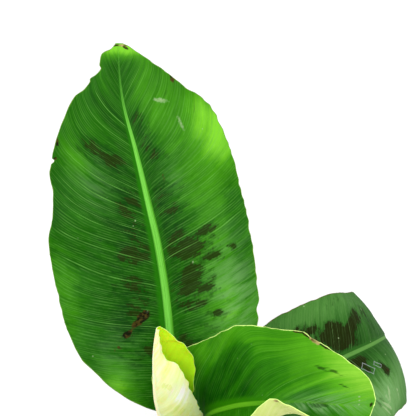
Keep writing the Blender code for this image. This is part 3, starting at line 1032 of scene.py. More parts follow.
    def margin(self, sign: int, rows: Rows) -> tuple[Array, Array]:
        """Half width of the blade beyond the channel, with its notches and small teeth.

        Args:
            sign: -1 for the left half, 1 for the right.
            rows: the rows' measures.

        Returns:
            Metres from the channel's edge to the margin, before and after the cuts, as columns.
        """
        blade_mm = rows.blade_mm
        knots = self.half_left if sign < 0 else self.half_right
        wide = MM * eased(*knots, rows.along) * (rows.along > 0)
        uneven = Ripple(self.seed + sign, UNEVEN_LENGTH, 1.0).at(blade_mm) ** 2
        drift = Ripple(self.seed + 7 * sign, TOOTH_DRIFT, 1.0).at(blade_mm)
        tooth = np.abs(np.sin(blade_mm / TOOTH_LENGTH + 1.5 * drift))
        trim = MM * self.teeth[(sign + 1) // 2] * (uneven + 0.9 * tooth)
        for notch in self.notches:
            if notch.side == sign:
                trim = trim + notch.at(blade_mm)
        cut = np.maximum(wide - np.minimum(trim, DEEPEST_CUT * wide), 0.0)
        return (wide + SHEATH_EDGE)[:, None], (cut + SHEATH_EDGE)[:, None]

    def vein_numbers(self, sign: int, line: Array, length: float) -> Array:
        """Vein numbers, whole at each side vein. The veins' places are uneven by a seeded draw.

        Args:
            sign: -1 for the left half, 1 for the right.
            line: where the vein through each point starts on the midrib, in metres.
            length: the leaf's whole length.

        Returns:
            The number at each point.
        """
        count = int((length + 0.3) / VEIN_GAP)
        draw = np.random.default_rng(self.seed + 100 + sign)
        uneven = np.arange(count) + draw.uniform(-0.34, 0.34, count) + 0.25 * sign
        return np.interp(line, FIRST_VEIN + VEIN_GAP * uneven, np.arange(count, dtype=float))

    def half(self, sign: int, rows: Rows, length: float) -> dict[str, Array]:
        """One half's measures at each point, from beside the midrib out to the margin.

        Across each row the surface follows an arc over the channel, then one over the blade that starts at
        the fold angle and turns by the bend. A ruffle grows towards the margin.

        Args:
            sign: -1 for the left half, 1 for the right.
            rows: the rows' measures.
            length: the leaf's whole length.

        Returns:
            Rows by columns of each measure, by name.
        """
        left = sign < 0
        fold = self.fold_left if left else self.fold_right
        bend = self.bend_left if left else self.bend_right
        sweep = self.sweep_left if left else self.sweep_right
        height, cycles = self.waves[0 if left else 1]
        channel, along = rows.channel, rows.along[:, None]
        full, blade = self.margin(sign, rows)

        outer = np.arange(1, self.blade_columns + 1) / self.blade_columns
        inner = np.arange(1, self.CHANNEL_COLUMNS + 1) / self.CHANNEL_COLUMNS
        columns = self.CHANNEL_COLUMNS + self.blade_columns
        spread = np.arange(1, columns + 1) / columns
        split = np.concatenate([inner[None] * channel, channel + outer[None] * blade], 1)
        mix = np.clip((rows.station - 0.9) / 0.1, 0, 1)[:, None]
        reach = spread[None] * (channel + blade) * (1 - mix) + split * mix

        y, z = arc(np.minimum(reach, channel), channel, 0.0, rows.wrap)
        angles = [np.radians(eased(*knots, rows.station))[:, None] for knots in (fold, bend)]
        y_blade, z_blade = arc(np.maximum(reach - channel, 0), full, *angles)
        share = np.clip((reach - channel) / blade, 0, 1) * (along > 0)
        calm = np.clip(1.5 * np.sin(np.pi * along), 0, 1)
        ruffle = height * share**2 * np.sin(2 * np.pi * cycles * along) * calm
        keel_share = np.cos(0.5 * np.pi * np.clip(reach / channel, 0, 1)) ** 2

        slope = eased(*sweep, rows.along)[:, None]
        hook = HOOK * np.exp(-reach / HOOK_REACH)
        line = rows.blade_mm[:, None] * MM - slope * reach + hook - MARGIN_CURL * share**3
        slant = np.sqrt(1 + np.gradient(blade[:, 0], rows.at) ** 2)[:, None]
        return {
            "y": sign * (y + y_blade),
            "z": z + z_blade + ruffle,
            "thick": rows.rim + (rows.keel - rows.rim) * keel_share,
            "reach": reach,
            "across": sign * reach,
            "line": line,
            "number": self.vein_numbers(sign, line, length),
            "edge": np.minimum((channel + blade - reach) / slant, (length - rows.at)[:, None] + TIP_EDGE),
            "share": share,
            "keel": reach / rows.rib_half,
        }

    def surface(self) -> tuple[Array, Array, dict[str, Array]]:
        """The upper side, its thickness and its measures: both halves and the midrib's column between them.

        Fine relief along the normal adds a ridge on each side vein, a slight arch between veins and slow
        unevenness.

        Returns:
            Rows by columns of points, the thickness at each, and the fields that the finish reads.
        """
        length = float(self.keel_line()[1][-1])
        rows = self.rows(length)
        left, right = self.half(-1, rows, length), self.half(1, rows, length)
        whole = {}
        for key in left:
            between = self.middle(key, left, right, rows.keel)
            whole[key] = np.concatenate([left[key][:, ::-1], between, right[key]], 1)
        place, side, up = (ways[:, None] for ways in self.frame_at(rows))
        points = place + whole["y"][..., None] * side + whole["z"][..., None] * up
        on_blade = np.clip((rows.station - 1.0) / BLADE_FADE, 0, 1)[:, None]
        on_blade = np.broadcast_to(on_blade, whole["y"].shape)
        blade_mm = rows.blade_mm[:, None]
        relief = self.relief(whole, blade_mm, on_blade)
        points = points + surface_normal(points) * relief[..., None]
        return points, whole["thick"], self.fields(whole, blade_mm, on_blade)

    @staticmethod
    def middle(key: str, left: dict[str, Array], right: dict[str, Array], keel: Array) -> Array:
        """The midrib's own column of a measure: nothing, the keel's thickness, or the mean of both sides.

        Args:
            key: the measure's name.
            left, right: the halves' measures.
            keel: the thickness at the keel.

        Returns:
            One value for each row.
        """
        if key in ("y", "z", "reach", "across", "share", "keel"):
            return np.zeros_like(keel)
        if key == "thick":
            return keel
        return 0.5 * (left[key][:, :1] + right[key][:, :1])

    def relief(self, whole: dict[str, Array], blade_mm: Array, on_blade: Array) -> Array:
        """Fine relief in metres: a ridge on each side vein, an arch between two, and slow unevenness.

        Args:
            whole: the leaf's measures at each point.
            blade_mm: millimetres from the blade's start.
            on_blade: 1 on the blade, 0 on the leafstalk and sheath.

        Returns:
            The relief's height at each point.
        """
        number = whole["number"]
        off = np.abs(number - np.round(number)) * VEIN_GAP
        clear = np.clip((whole["keel"] - 1.0) / 1.2, 0, 1) * np.clip(whole["edge"] / 0.008, 0, 1)
        ridge = RIDGE_HEIGHT * np.exp(-((off / RIDGE_WIDTH) ** 2))
        arch = -ARCH_HEIGHT * np.cos(2 * np.pi * number)
        slow = Ripple(self.seed + 20, SLOW_LENGTH, SLOW_HEIGHT).at(blade_mm, whole["across"] / MM)
        return on_blade * (clear * (ridge + arch) + whole["share"] * slow)

    def fields(self, whole: dict[str, Array], blade_mm: Array, on_blade: Array) -> dict[str, Array]:
        """The measures that the finish reads, at each point of both sides.

        Args:
            whole: the leaf's measures at each point of the upper side.
            blade_mm: millimetres from the blade's start.
            on_blade: 1 on the blade, 0 on the leafstalk and sheath.

        Returns:
            Numbers and vectors by name, the upper side's first.
        """
        across_mm = whole["across"] / MM
        sums = {mark: np.zeros_like(across_mm) for mark in Mark}
        for patch in self.patches:
            sums[patch.mark] += patch.at(blade_mm, across_mm)
        lighter, shade = sums.pop(Mark.GLOW), sums.pop(Mark.SHADE)
        run = np.broadcast_to(blade_mm * MM, across_mm.shape)
        stem = 1 - on_blade
        line = whole["line"] * on_blade + whole["across"] * stem
        reach = whole["reach"] * on_blade + (run + 1.0) * stem
        single = {
            # The light field: its level across the half, plus painted light and less painted shade
            "light": eased(*self.tone, whole["share"]) + lighter - shade,
            "blade": on_blade,
            "keel": whole["keel"] * on_blade + 3.0 * stem,
            **{mark.value: total for mark, total in sums.items()},
        }
        made = {name: np.tile(values.ravel(), 2) for name, values in single.items()}
        made["upper"] = np.repeat([1.0, 0.0], across_mm.size)
        vectors = {"vein": (whole["number"], line, reach), "place": (run, whole["across"], whole["edge"])}
        for name, parts in vectors.items():
            made[name] = np.tile(np.stack(parts, -1).reshape(-1, 3), (2, 1))
        return made

    def build(self) -> bpy.types.Object:
        """Makes the leaf and puts it in the place of its node.

        Returns:
            The piece.
        """
        points, thickness, fields = self.surface()
        vertices, quads = closed_sheet(points, thickness)
        piece = make_piece(self.name, vertices, quads, self.finish.material(f"{self.name}_skin"), fields)
        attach(piece, "root")
        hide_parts(self.node)
        self.slot
        return piece


@dataclass
class DrySheath:
    """The dry old sheath round the stem's foot, torn along its top."""

    radius: float = 0.0160
    wall: float = 0.0011
    heading: float = 25.0
    wrap: float = 132.0
    top: float = 0.156
    rows: int = 50
    columns: int = 160

    def surface(self) -> tuple[Array, Array, dict[str, Array]]:
        """Part of a cone that flares by the cube of its height, with lengthwise folds and a ragged top.

        Returns:
            Rows by columns of points on its inside, the thickness at each, and the way round and up.
        """
        turn = np.radians(np.linspace(-self.wrap, self.wrap, self.columns))[None]
        tear = 0.004 * np.abs(np.sin(4.5 * turn + 0.6))
        tear = tear + 0.0016 * np.abs(np.sin(17 * turn + 2 * np.sin(5 * turn)))
        top = self.top + 0.006 * np.cos(turn) - tear
        share = np.linspace(0, 1, self.rows)[:, None]
        bottom = SOIL_TOP - STEM_DEPTH
        z = bottom + (top - bottom) * share
        fold = 0.00018 * np.sin(46 * turn + 3 * share) * share
        radius = self.radius + 0.0024 * share**3 * (1 + 0.4 * np.sin(3 * turn)) + fold
        angle = math.radians(self.heading) - turn
        points = np.stack([radius * np.cos(angle), radius * np.sin(angle), z], -1)
        thickness = np.full(points.shape[:2], self.wall) * (1 - 0.6 * share**2)
        way = np.stack(np.broadcast_arrays(turn * self.radius, z, share), -1).reshape(-1, 3)
        return points, thickness, {"way": np.tile(way, (2, 1))}

    def material(self) -> bpy.types.Material:
        """Papery husk: brown fibres along the sheath, paler and greyer towards the torn top.

        Returns:
            The material.
        """
        g = Graph("dry_husk")
        around, up, share = g.parts("way")
        fibre = g.noise(g.place(around * 1500.0, up * 60.0), detail=4.0, rough=0.6)
        stain = g.noise(g.coordinates(), scale=90.0, detail=4.0)
        color = g.mix(g.step(fibre, 0.3, 0.7), srgb(86, 60, 30), srgb(170, 138, 86))
        color = g.mix(g.step(stain, 0.45, 0.7, (0.0, 0.6)), color, srgb(58, 38, 22))
        color = g.mix(g.step(share, 0.75, 1.0, (0.0, 0.5)), color, srgb(196, 178, 136))
        g.bump(fibre, 0.0004)
        return g.finish(color, g.step(fibre, 0.2, 0.8, (0.72, 0.9)), 0.3)

    def build(self) -> bpy.types.Object:
        """Makes the sheath and puts it in the place of its node.

        Returns:
            The piece.
        """
        points, thickness, fields = self.surface()
        vertices, quads = closed_sheet(points, thickness)
        piece = make_piece("dry_sheath", vertices, quads, self.material(), fields)
        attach(piece, "root")
        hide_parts("sheath_dry")
        return piece


def rounded_outline(corners: list[tuple[float, float, float]], steps: int = 5) -> Array:
    """An open outline whose corners are eased.

    Each corner becomes a quadratic curve between points that lie its rounding length before and after it.

    Args:
        corners: radius, height and rounding length of each corner; the first and last stay sharp.
        steps: points for each rounded corner.

    Returns:
        Radius and height at each point.
    """
    p = np.array(corners, float)
    made = [p[:1, :2]]
    t = np.linspace(0, 1, steps)[:, None]
    for before, corner, after in zip(p[:-2], p[1:-1], p[2:]):
        inward, outward = before[:2] - corner[:2], after[:2] - corner[:2]
        cut = min(corner[2], 0.45 * np.linalg.norm(inward), 0.45 * np.linalg.norm(outward))
        start, end = corner[:2] + cut * unit(inward), corner[:2] + cut * unit(outward)
        made.append((1 - t) ** 2 * start + 2 * t * (1 - t) * corner[:2] + t**2 * end)
    made.append(p[-1:, :2])
    return np.concatenate(made)


def weld(mesh: bpy.types.Mesh) -> None:
    """Joins points that lie together, so that poles are closed.

    Args:
        mesh: the mesh to change.
    """
    work = bmesh.new()
    work.from_mesh(mesh)
    bmesh.ops.remove_doubles(work, verts=work.verts[:], dist=1e-7)
    work.to_mesh(mesh)
    work.free()


def round_way(segments: int) -> Array:
    """Angles of even steps once round, as a row."""
    return np.linspace(0, 2 * math.pi, segments, endpoint=False)[None]


def turned_piece(name: str, x: Array, y: Array, z: Array, finish: bpy.types.Material) -> bpy.types.Object:
    """A closed surface of rings round Z, from the axis underneath, up the outside and back to the axis.

    Args:
        name: the piece's name.
        x, y, z: rings by steps of coordinates; the first and last ring lie on the axis.
        finish: the material.

    Returns:
        The piece, with its poles welded.
    """
    piece = make_piece(name, np.stack([x, y, z], -1).reshape(-1, 3), ring_quads(*x.shape), finish)
    weld(piece.data)
    return piece


@dataclass(frozen=True)
class Pot:
    """The plain tapered pot: a foot ring, two moulded lines, a rim band with rounded edges, drain holes."""

    height: float = 0.145
    foot: float = 0.055
    rim: float = 0.078
    rim_step: float = 0.004
    wall: float = 0.0028
    floor: float = 0.0035
    band: float = 0.018
    drain_holes: int = 4
    drain_radius: float = 0.005
    drain_ring: float = 0.034
    segments: int = 160

    SHARP_ANGLE = 50.0

    @property
    def slope(self) -> float:
        """How far the wall leans out for each metre up."""
        return (self.rim - self.rim_step - self.foot) / (self.height - self.band)

    @property
    def inner_top(self) -> float:
        """Radius of the opening."""
        return self.rim - self.rim_step - self.wall + self.slope * self.band

    def inner_radius(self, z: float) -> float:
        """Radius of the inner wall at a height."""
        foot = self.foot - self.wall
        return foot + (self.inner_top - foot) * (z - self.floor) / (self.height - self.floor)

    def outline(self) -> Array:
        """The wall's outline, from the underside's middle up the outside, over the rim and down inside.

        Returns:
            Radius and height at each point.
        """
        skirt = self.height - self.band
        edge = 0.0004

        def outside(z: float, rounding: float, out: float = 0.0) -> tuple[float, float, float]:
            """A corner on the outer wall at a height, moved out."""
            return self.foot + self.slope * z + out, z, rounding

        corners = [(0.0, 0.0010, 0.0), (0.0455, 0.0010, 0.0006), (0.0463, 0.0, 0.0006)]
        corners += [(self.foot - 0.0012, 0.0, 0.0012), outside(0.0014, 0.0012)]
        for line in (0.010, 0.0130):
            for step, out in ((-0.0007, 0.0), (0.0, -0.0006), (0.0007, 0.0)):
                corners.append(outside(skirt - line + step, edge, out))
        corners += [
            outside(skirt, edge),
            (self.rim - 0.0012, skirt, 0.0008),
            (self.rim, self.height, 0.0016),
            (self.inner_top, self.height, 0.0014),
            (self.inner_top - self.slope * 0.012, self.height - 0.012, edge),
            (self.foot - self.wall, self.floor, 0.0030),
            (0.0, self.floor, 0.0),
        ]
        return rounded_outline(corners)

    def material(self) -> bpy.types.Material:
        """Brown moulded plastic: a fine matte grain, faint flow marks up the wall, and dust.

        Returns:
            The material.
        """
        g = Graph("pot_plastic")
        where = g.coordinates()
        height = g.split(where)[2]
        grain = g.noise(where, scale=1500.0, detail=2.0)
        soft = g.noise(where, scale=22.0, detail=4.0, rough=0.6)
        flow = g.noise(g.stretched(where, (160.0, 160.0, 14.0)), detail=3.0)
        tone = soft * 0.88 + flow * 0.12
        color = g.mix(g.step(tone, 0.35, 0.65), srgb(112, 67, 48), srgb(128, 79, 58))
        dust = g.step(soft, 0.5, 0.72) * g.step(height, 0.05, 0.0, (0.15, 0.7))
        color = g.mix(dust, color, srgb(160, 128, 104))
        g.bump(grain * 0.6 + flow * 0.25, 0.00010)
        return g.finish(color, g.step(soft, 0.3, 0.7, (0.42, 0.56)), 0.4)

    def build(self) -> bpy.types.Object:
        """Makes the pot, drills its drain holes and puts it in the place of its node.

        Returns:
            The piece.
        """
        outline = self.outline()
        angle = round_way(self.segments)
        radius, z = outline[:, :1], outline[:, 1:] + 0 * angle
        x, y = radius * np.cos(angle), radius * np.sin(angle)
        piece = turned_piece("pot_shell", x, y, z, self.material())
        for index in range(self.drain_holes):
            turn = math.radians(45 + 360 / self.drain_holes * index)
            self.drill(piece, self.drain_ring * math.cos(turn), self.drain_ring * math.sin(turn))
        piece.data.set_sharp_from_angle(angle=math.radians(self.SHARP_ANGLE))
        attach(piece, "root")
        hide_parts("pot")
        return piece

    def drill(self, piece: bpy.types.Object, x: float, y: float) -> None:
        """Cuts one upright hole through the floor and removes the cutter.

        Args:
            piece: the pot.
            x, y: the hole's middle.
        """
        cone = bmesh.new()
        wide = self.drain_radius
        bmesh.ops.create_cone(cone, cap_ends=True, segments=40, radius1=wide, radius2=wide, depth=0.03)
        bmesh.ops.translate(cone, verts=cone.verts[:], vec=(x, y, 0.0))
        mesh = bpy.data.meshes.new("drill")
        cone.to_mesh(mesh)
        cone.free()
        drill = bpy.data.objects.new("drill", mesh)
        bpy.context.scene.collection.objects.link(drill)
        cut = piece.modifiers.new("hole", "BOOLEAN")
        cut.object, cut.operation, cut.solver = drill, "DIFFERENCE", "EXACT"
        apply_modifiers(piece)
        bpy.data.objects.remove(drill, do_unlink=True)


def apply_modifiers(piece: bpy.types.Object) -> None:
    """Keeps what the modifiers make as the piece's own mesh.

    Args:
        piece: the piece to change.
    """
    graph = bpy.context.evaluated_depsgraph_get()
    old = piece.data
    made = bpy.data.meshes.new_from_object(piece.evaluated_get(graph), depsgraph=graph)
    piece.modifiers.clear()
    piece.data = made
    name = old.name
    bpy.data.meshes.remove(old)
    made.name = name


@dataclass
class Soil:
    """Damp peat with a rough top, and loose crumbs, bark and a little perlite lying on it.

    Each kind of lump on the top has a seed step, a size and a height.
    """

    pot: Pot
    lumps: tuple[tuple[int, float, float], ...] = (
        (0, 0.030, 0.0007),
        (1, 0.009, 0.0005),
        (2, 0.0035, 0.0003),
    )
    rings: int = 84
    segments: int = 260
    crumbs: int = 620
    ball: tuple[int, int] = (6, 8)
    seed: int = 41

    BARK_FROM = 0.6
    PERLITE_FROM = 0.92

    def wall_radius(self, z: float) -> float:
        """Radius of the soil at a height, just inside the pot's wall."""
        return self.pot.inner_radius(z) - 2 * SOIL_GAP

    def top(self, x: Array, y: Array) -> Array:
        """Height of the soil's top: a low mound at the stem, with lumps that are calmer at its edges.

        Args:
            x, y: places, in metres.

        Returns:
            The height at each place.
        """
        r = np.hypot(x, y)
        wide = self.wall_radius(SOIL_TOP)
        mound = 0.0014 * np.exp(-(((r - STEM_HOLE_RADIUS) / 0.018) ** 2))
        lumps = sum(Ripple(self.seed + k, size, high, 14).at(x, y) for k, size, high in self.lumps)
        calm = np.clip((r - STEM_HOLE_RADIUS) / 0.004, 0.15, 1) * np.clip((wide - r) / 0.003, 0.2, 1)
        return SOIL_TOP - 0.0006 + mound + lumps * calm

    def material(self, name: str, loose: bool) -> bpy.types.Material:
        """Dark peat with short pale fibres, or loose crumbs whose colour follows their kind.

        Args:
            name: the material's name.
            loose: whether it is for the crumbs.

        Returns:
            The material.
        """
        g = Graph(name)
        where = g.coordinates()
        fine = g.noise(where, scale=900.0, detail=4.0, rough=0.7)
        coarse = g.noise(where, scale=160.0, detail=4.0, rough=0.6)
        color = g.mix(g.step(coarse, 0.35, 0.65), srgb(34, 24, 17), srgb(72, 52, 36))
        threads = g.noise(g.stretched(where, (2200.0, 260.0, 260.0), 0.7), detail=2.0)
        color = g.mix(g.step(threads, 0.66, 0.72, (0.0, 0.6)), color, srgb(120, 92, 62))
        if loose:
            kind = g.number("kind")
            bark = g.mix(coarse, srgb(74, 44, 26), srgb(128, 84, 52))
            color = g.mix(g.step(kind, self.BARK_FROM - 0.05, self.BARK_FROM), color, bark)
            perlite = g.mix(fine, srgb(188, 184, 174), srgb(226, 222, 212))
            color = g.mix(g.step(kind, self.PERLITE_FROM - 0.02, self.PERLITE_FROM), color, perlite)
        g.bump(fine + coarse, 0.0007)
        return g.finish(color, g.step(fine, 0.3, 0.7, (0.8, 0.98)), 0.25)

    def build_bed(self) -> bpy.types.Object:
        """Makes the filling, with the stem's hole, and puts it in the place of its node.

        Returns:
            The piece.
        """
        bottom = self.pot.floor + SOIL_GAP
        wide = self.wall_radius(SOIL_TOP - 0.001)
        hole_floor = SOIL_TOP - STEM_DEPTH - SOIL_GAP
        outside = [(0.0, bottom), (self.wall_radius(bottom), bottom), (wide, SOIL_TOP - 0.0016)]
        top = [(r, np.nan) for r in np.linspace(wide - 0.0003, STEM_HOLE_RADIUS, self.rings)]
        inside = [(STEM_HOLE_RADIUS, hole_floor), (0.0, hole_floor)]
        radius, level = np.array(outside + top + inside).T[..., None]
        angle = round_way(self.segments)
        x, y = radius * np.cos(angle), radius * np.sin(angle)
        z = np.where(np.isnan(level), self.top(x, y), level)
        piece = turned_piece("soil_bed", x, y, z, self.material("soil_peat", loose=False))
        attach(piece, "root")
        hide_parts("soil")
        return piece

    def build_crumbs(self) -> bpy.types.Object:
        """Makes the loose crumbs: each a small uneven ball, stretched, turned and sunk a little.

        A ball is a grid of latitudes and longitudes whose radius swells and shrinks by two sines. Kinds run
        from 0 to 1: peat crumbs, then flat bark chips, then perlite.

        Returns:
            The crumbs as one piece.
        """
        draw = np.random.default_rng(self.seed)
        count, (rows, columns) = self.crumbs, self.ball
        spread = np.sqrt(draw.uniform(0, 1, count))
        near, far = STEM_HOLE_RADIUS + 0.004, self.wall_radius(SOIL_TOP) - 0.004
        radius, turn = near + (far - near) * spread, draw.uniform(0, 2 * math.pi, count)
        middle_x, middle_y = radius * np.cos(turn), radius * np.sin(turn)
        kind = draw.uniform(0, 1, count)
        bark, perlite = (kind > self.BARK_FROM) & (kind < self.PERLITE_FROM), kind >= self.PERLITE_FROM
        size = draw.uniform(0.0006, 0.0019, count) * np.where(bark, 1.6, 1.0) * np.where(perlite, 1.2, 1.0)
        wide, deep = draw.uniform(0.7, 1.3, count), draw.uniform(0.6, 1.1, count)
        stretch = np.stack([wide, deep, np.where(bark, 0.35, 0.8)], -1)
        latitude = np.linspace(-math.pi / 2, math.pi / 2, rows)[None, :, None]
        longitude = round_way(columns)[None]
        flat = np.cos(latitude)
        ways = (flat * np.cos(longitude), flat * np.sin(longitude), np.sin(latitude))
        ball = np.stack(np.broadcast_arrays(*ways), -1)
        phase = draw.uniform(0, 2 * math.pi, (count, 1, 1))
        swell = 1 + 0.16 * np.sin(3 * longitude + phase) * flat + 0.12 * np.sin(4 * latitude + 2 * phase)
        shape = ball * swell[..., None] * stretch[:, None, None] * size[:, None, None, None]
        yaw, tilt = draw.uniform(0, 2 * math.pi, (count, 1, 1)), draw.uniform(-0.5, 0.5, (count, 1, 1))
        px = shape[..., 0] * np.cos(tilt) - shape[..., 2] * np.sin(tilt)
        pz = shape[..., 0] * np.sin(tilt) + shape[..., 2] * np.cos(tilt)
        x = px * np.cos(yaw) - shape[..., 1] * np.sin(yaw) + middle_x[:, None, None]
        y = px * np.sin(yaw) + shape[..., 1] * np.cos(yaw) + middle_y[:, None, None]
        rest = self.top(middle_x, middle_y) + 0.35 * size * stretch[:, 2]
        points = np.stack([x, y, pz + rest[:, None, None]], -1).reshape(-1, 3)
        first = (np.arange(count) * rows * columns)[:, None, None]
        quads = (ring_quads(rows, columns)[None] + first).reshape(-1, 4)
        fields = {"kind": np.repeat(kind, rows * columns)}
        piece = make_piece("soil_crumbs", points, quads, self.material("soil_loose", loose=True), fields)
        weld(piece.data)
        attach(piece, "root")
        return piece


@dataclass
class Studio:
    """A plain pale floor, a white sky, soft lights, and the camera, which looks down as the photo does."""

    target: Point = (0.016, 0.080, 0.438)
    elevation: float = 38.0
    distance: float = 0.95
    view_width: float = 0.333
    floor_half: float = 6.0
    floor_level: float = -0.0003
    sky: float = 1.04
    key_energy: float = 12.0
    fill_energy: float = 2.5
    lamp_size: float = 0.9

    def build(self) -> None:
        """Makes the floor, the sky, the lights and the camera."""
        scene = bpy.context.scene
        scene.view_settings.view_transform = "Standard"
        scene.view_settings.look = "None"
        half = self.floor_half
        corners = [(x * half, y * half, self.floor_level) for x, y in ((-1, -1), (1, -1), (1, 1), (-1, 1))]
        paint = Graph("floor_white").finish((0.94, 0.94, 0.94, 1.0), 0.9, 0.1)
        floor = make_piece("floor", np.array(corners), np.array([[0, 1, 2, 3]]), paint)
        floor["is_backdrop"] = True
        world = bpy.data.worlds.new("sky")
        world.use_nodes = True
        background = world.node_tree.nodes["Background"]
        background.inputs["Color"].default_value = (1.0, 1.0, 1.0, 1.0)
        background.inputs["Strength"].default_value = self.sky
        scene.world = world
        self.area("key", (-0.25, -0.85, 1.50), self.key_energy)
        self.area("fill", (1.2, -0.2, 1.0), self.fill_energy)
        self.camera()

    def area(self, name: str, place: Point, energy: float) -> None:
        """A square soft light at a place, turned to the target.

        Args:
            name: the light's name.
            place: where it hangs.
            energy: its power in watts.
        """
        lamp = bpy.data.lights.new(name, "AREA")
        lamp.size, lamp.energy = self.lamp_size, energy
        holder = bpy.data.objects.new(name, lamp)
        holder.location = place
        aim = Vector(self.target) - Vector(place)
        holder.rotation_euler = aim.to_track_quat("-Z", "Y").to_euler()
        bpy.context.scene.collection.objects.link(holder)

    def camera(self) -> None:
        """The camera, straight behind the target along -Y and raised by the elevation."""
        lens = bpy.data.cameras.new("camera")
        lens.sensor_width = 36.0
        lens.lens = lens.sensor_width * self.distance / self.view_width
        lens.clip_start, lens.clip_end = 0.01, 50.0
        holder = bpy.data.objects.new("camera", lens)
        rise = math.radians(self.elevation)
        back = Vector((0.0, -math.cos(rise), math.sin(rise)))
        holder.location = Vector(self.target) + back * self.distance
        holder.rotation_euler = (math.pi / 2 - rise, 0.0, 0.0)
        bpy.context.scene.collection.objects.link(holder)
        bpy.context.scene.camera = holder


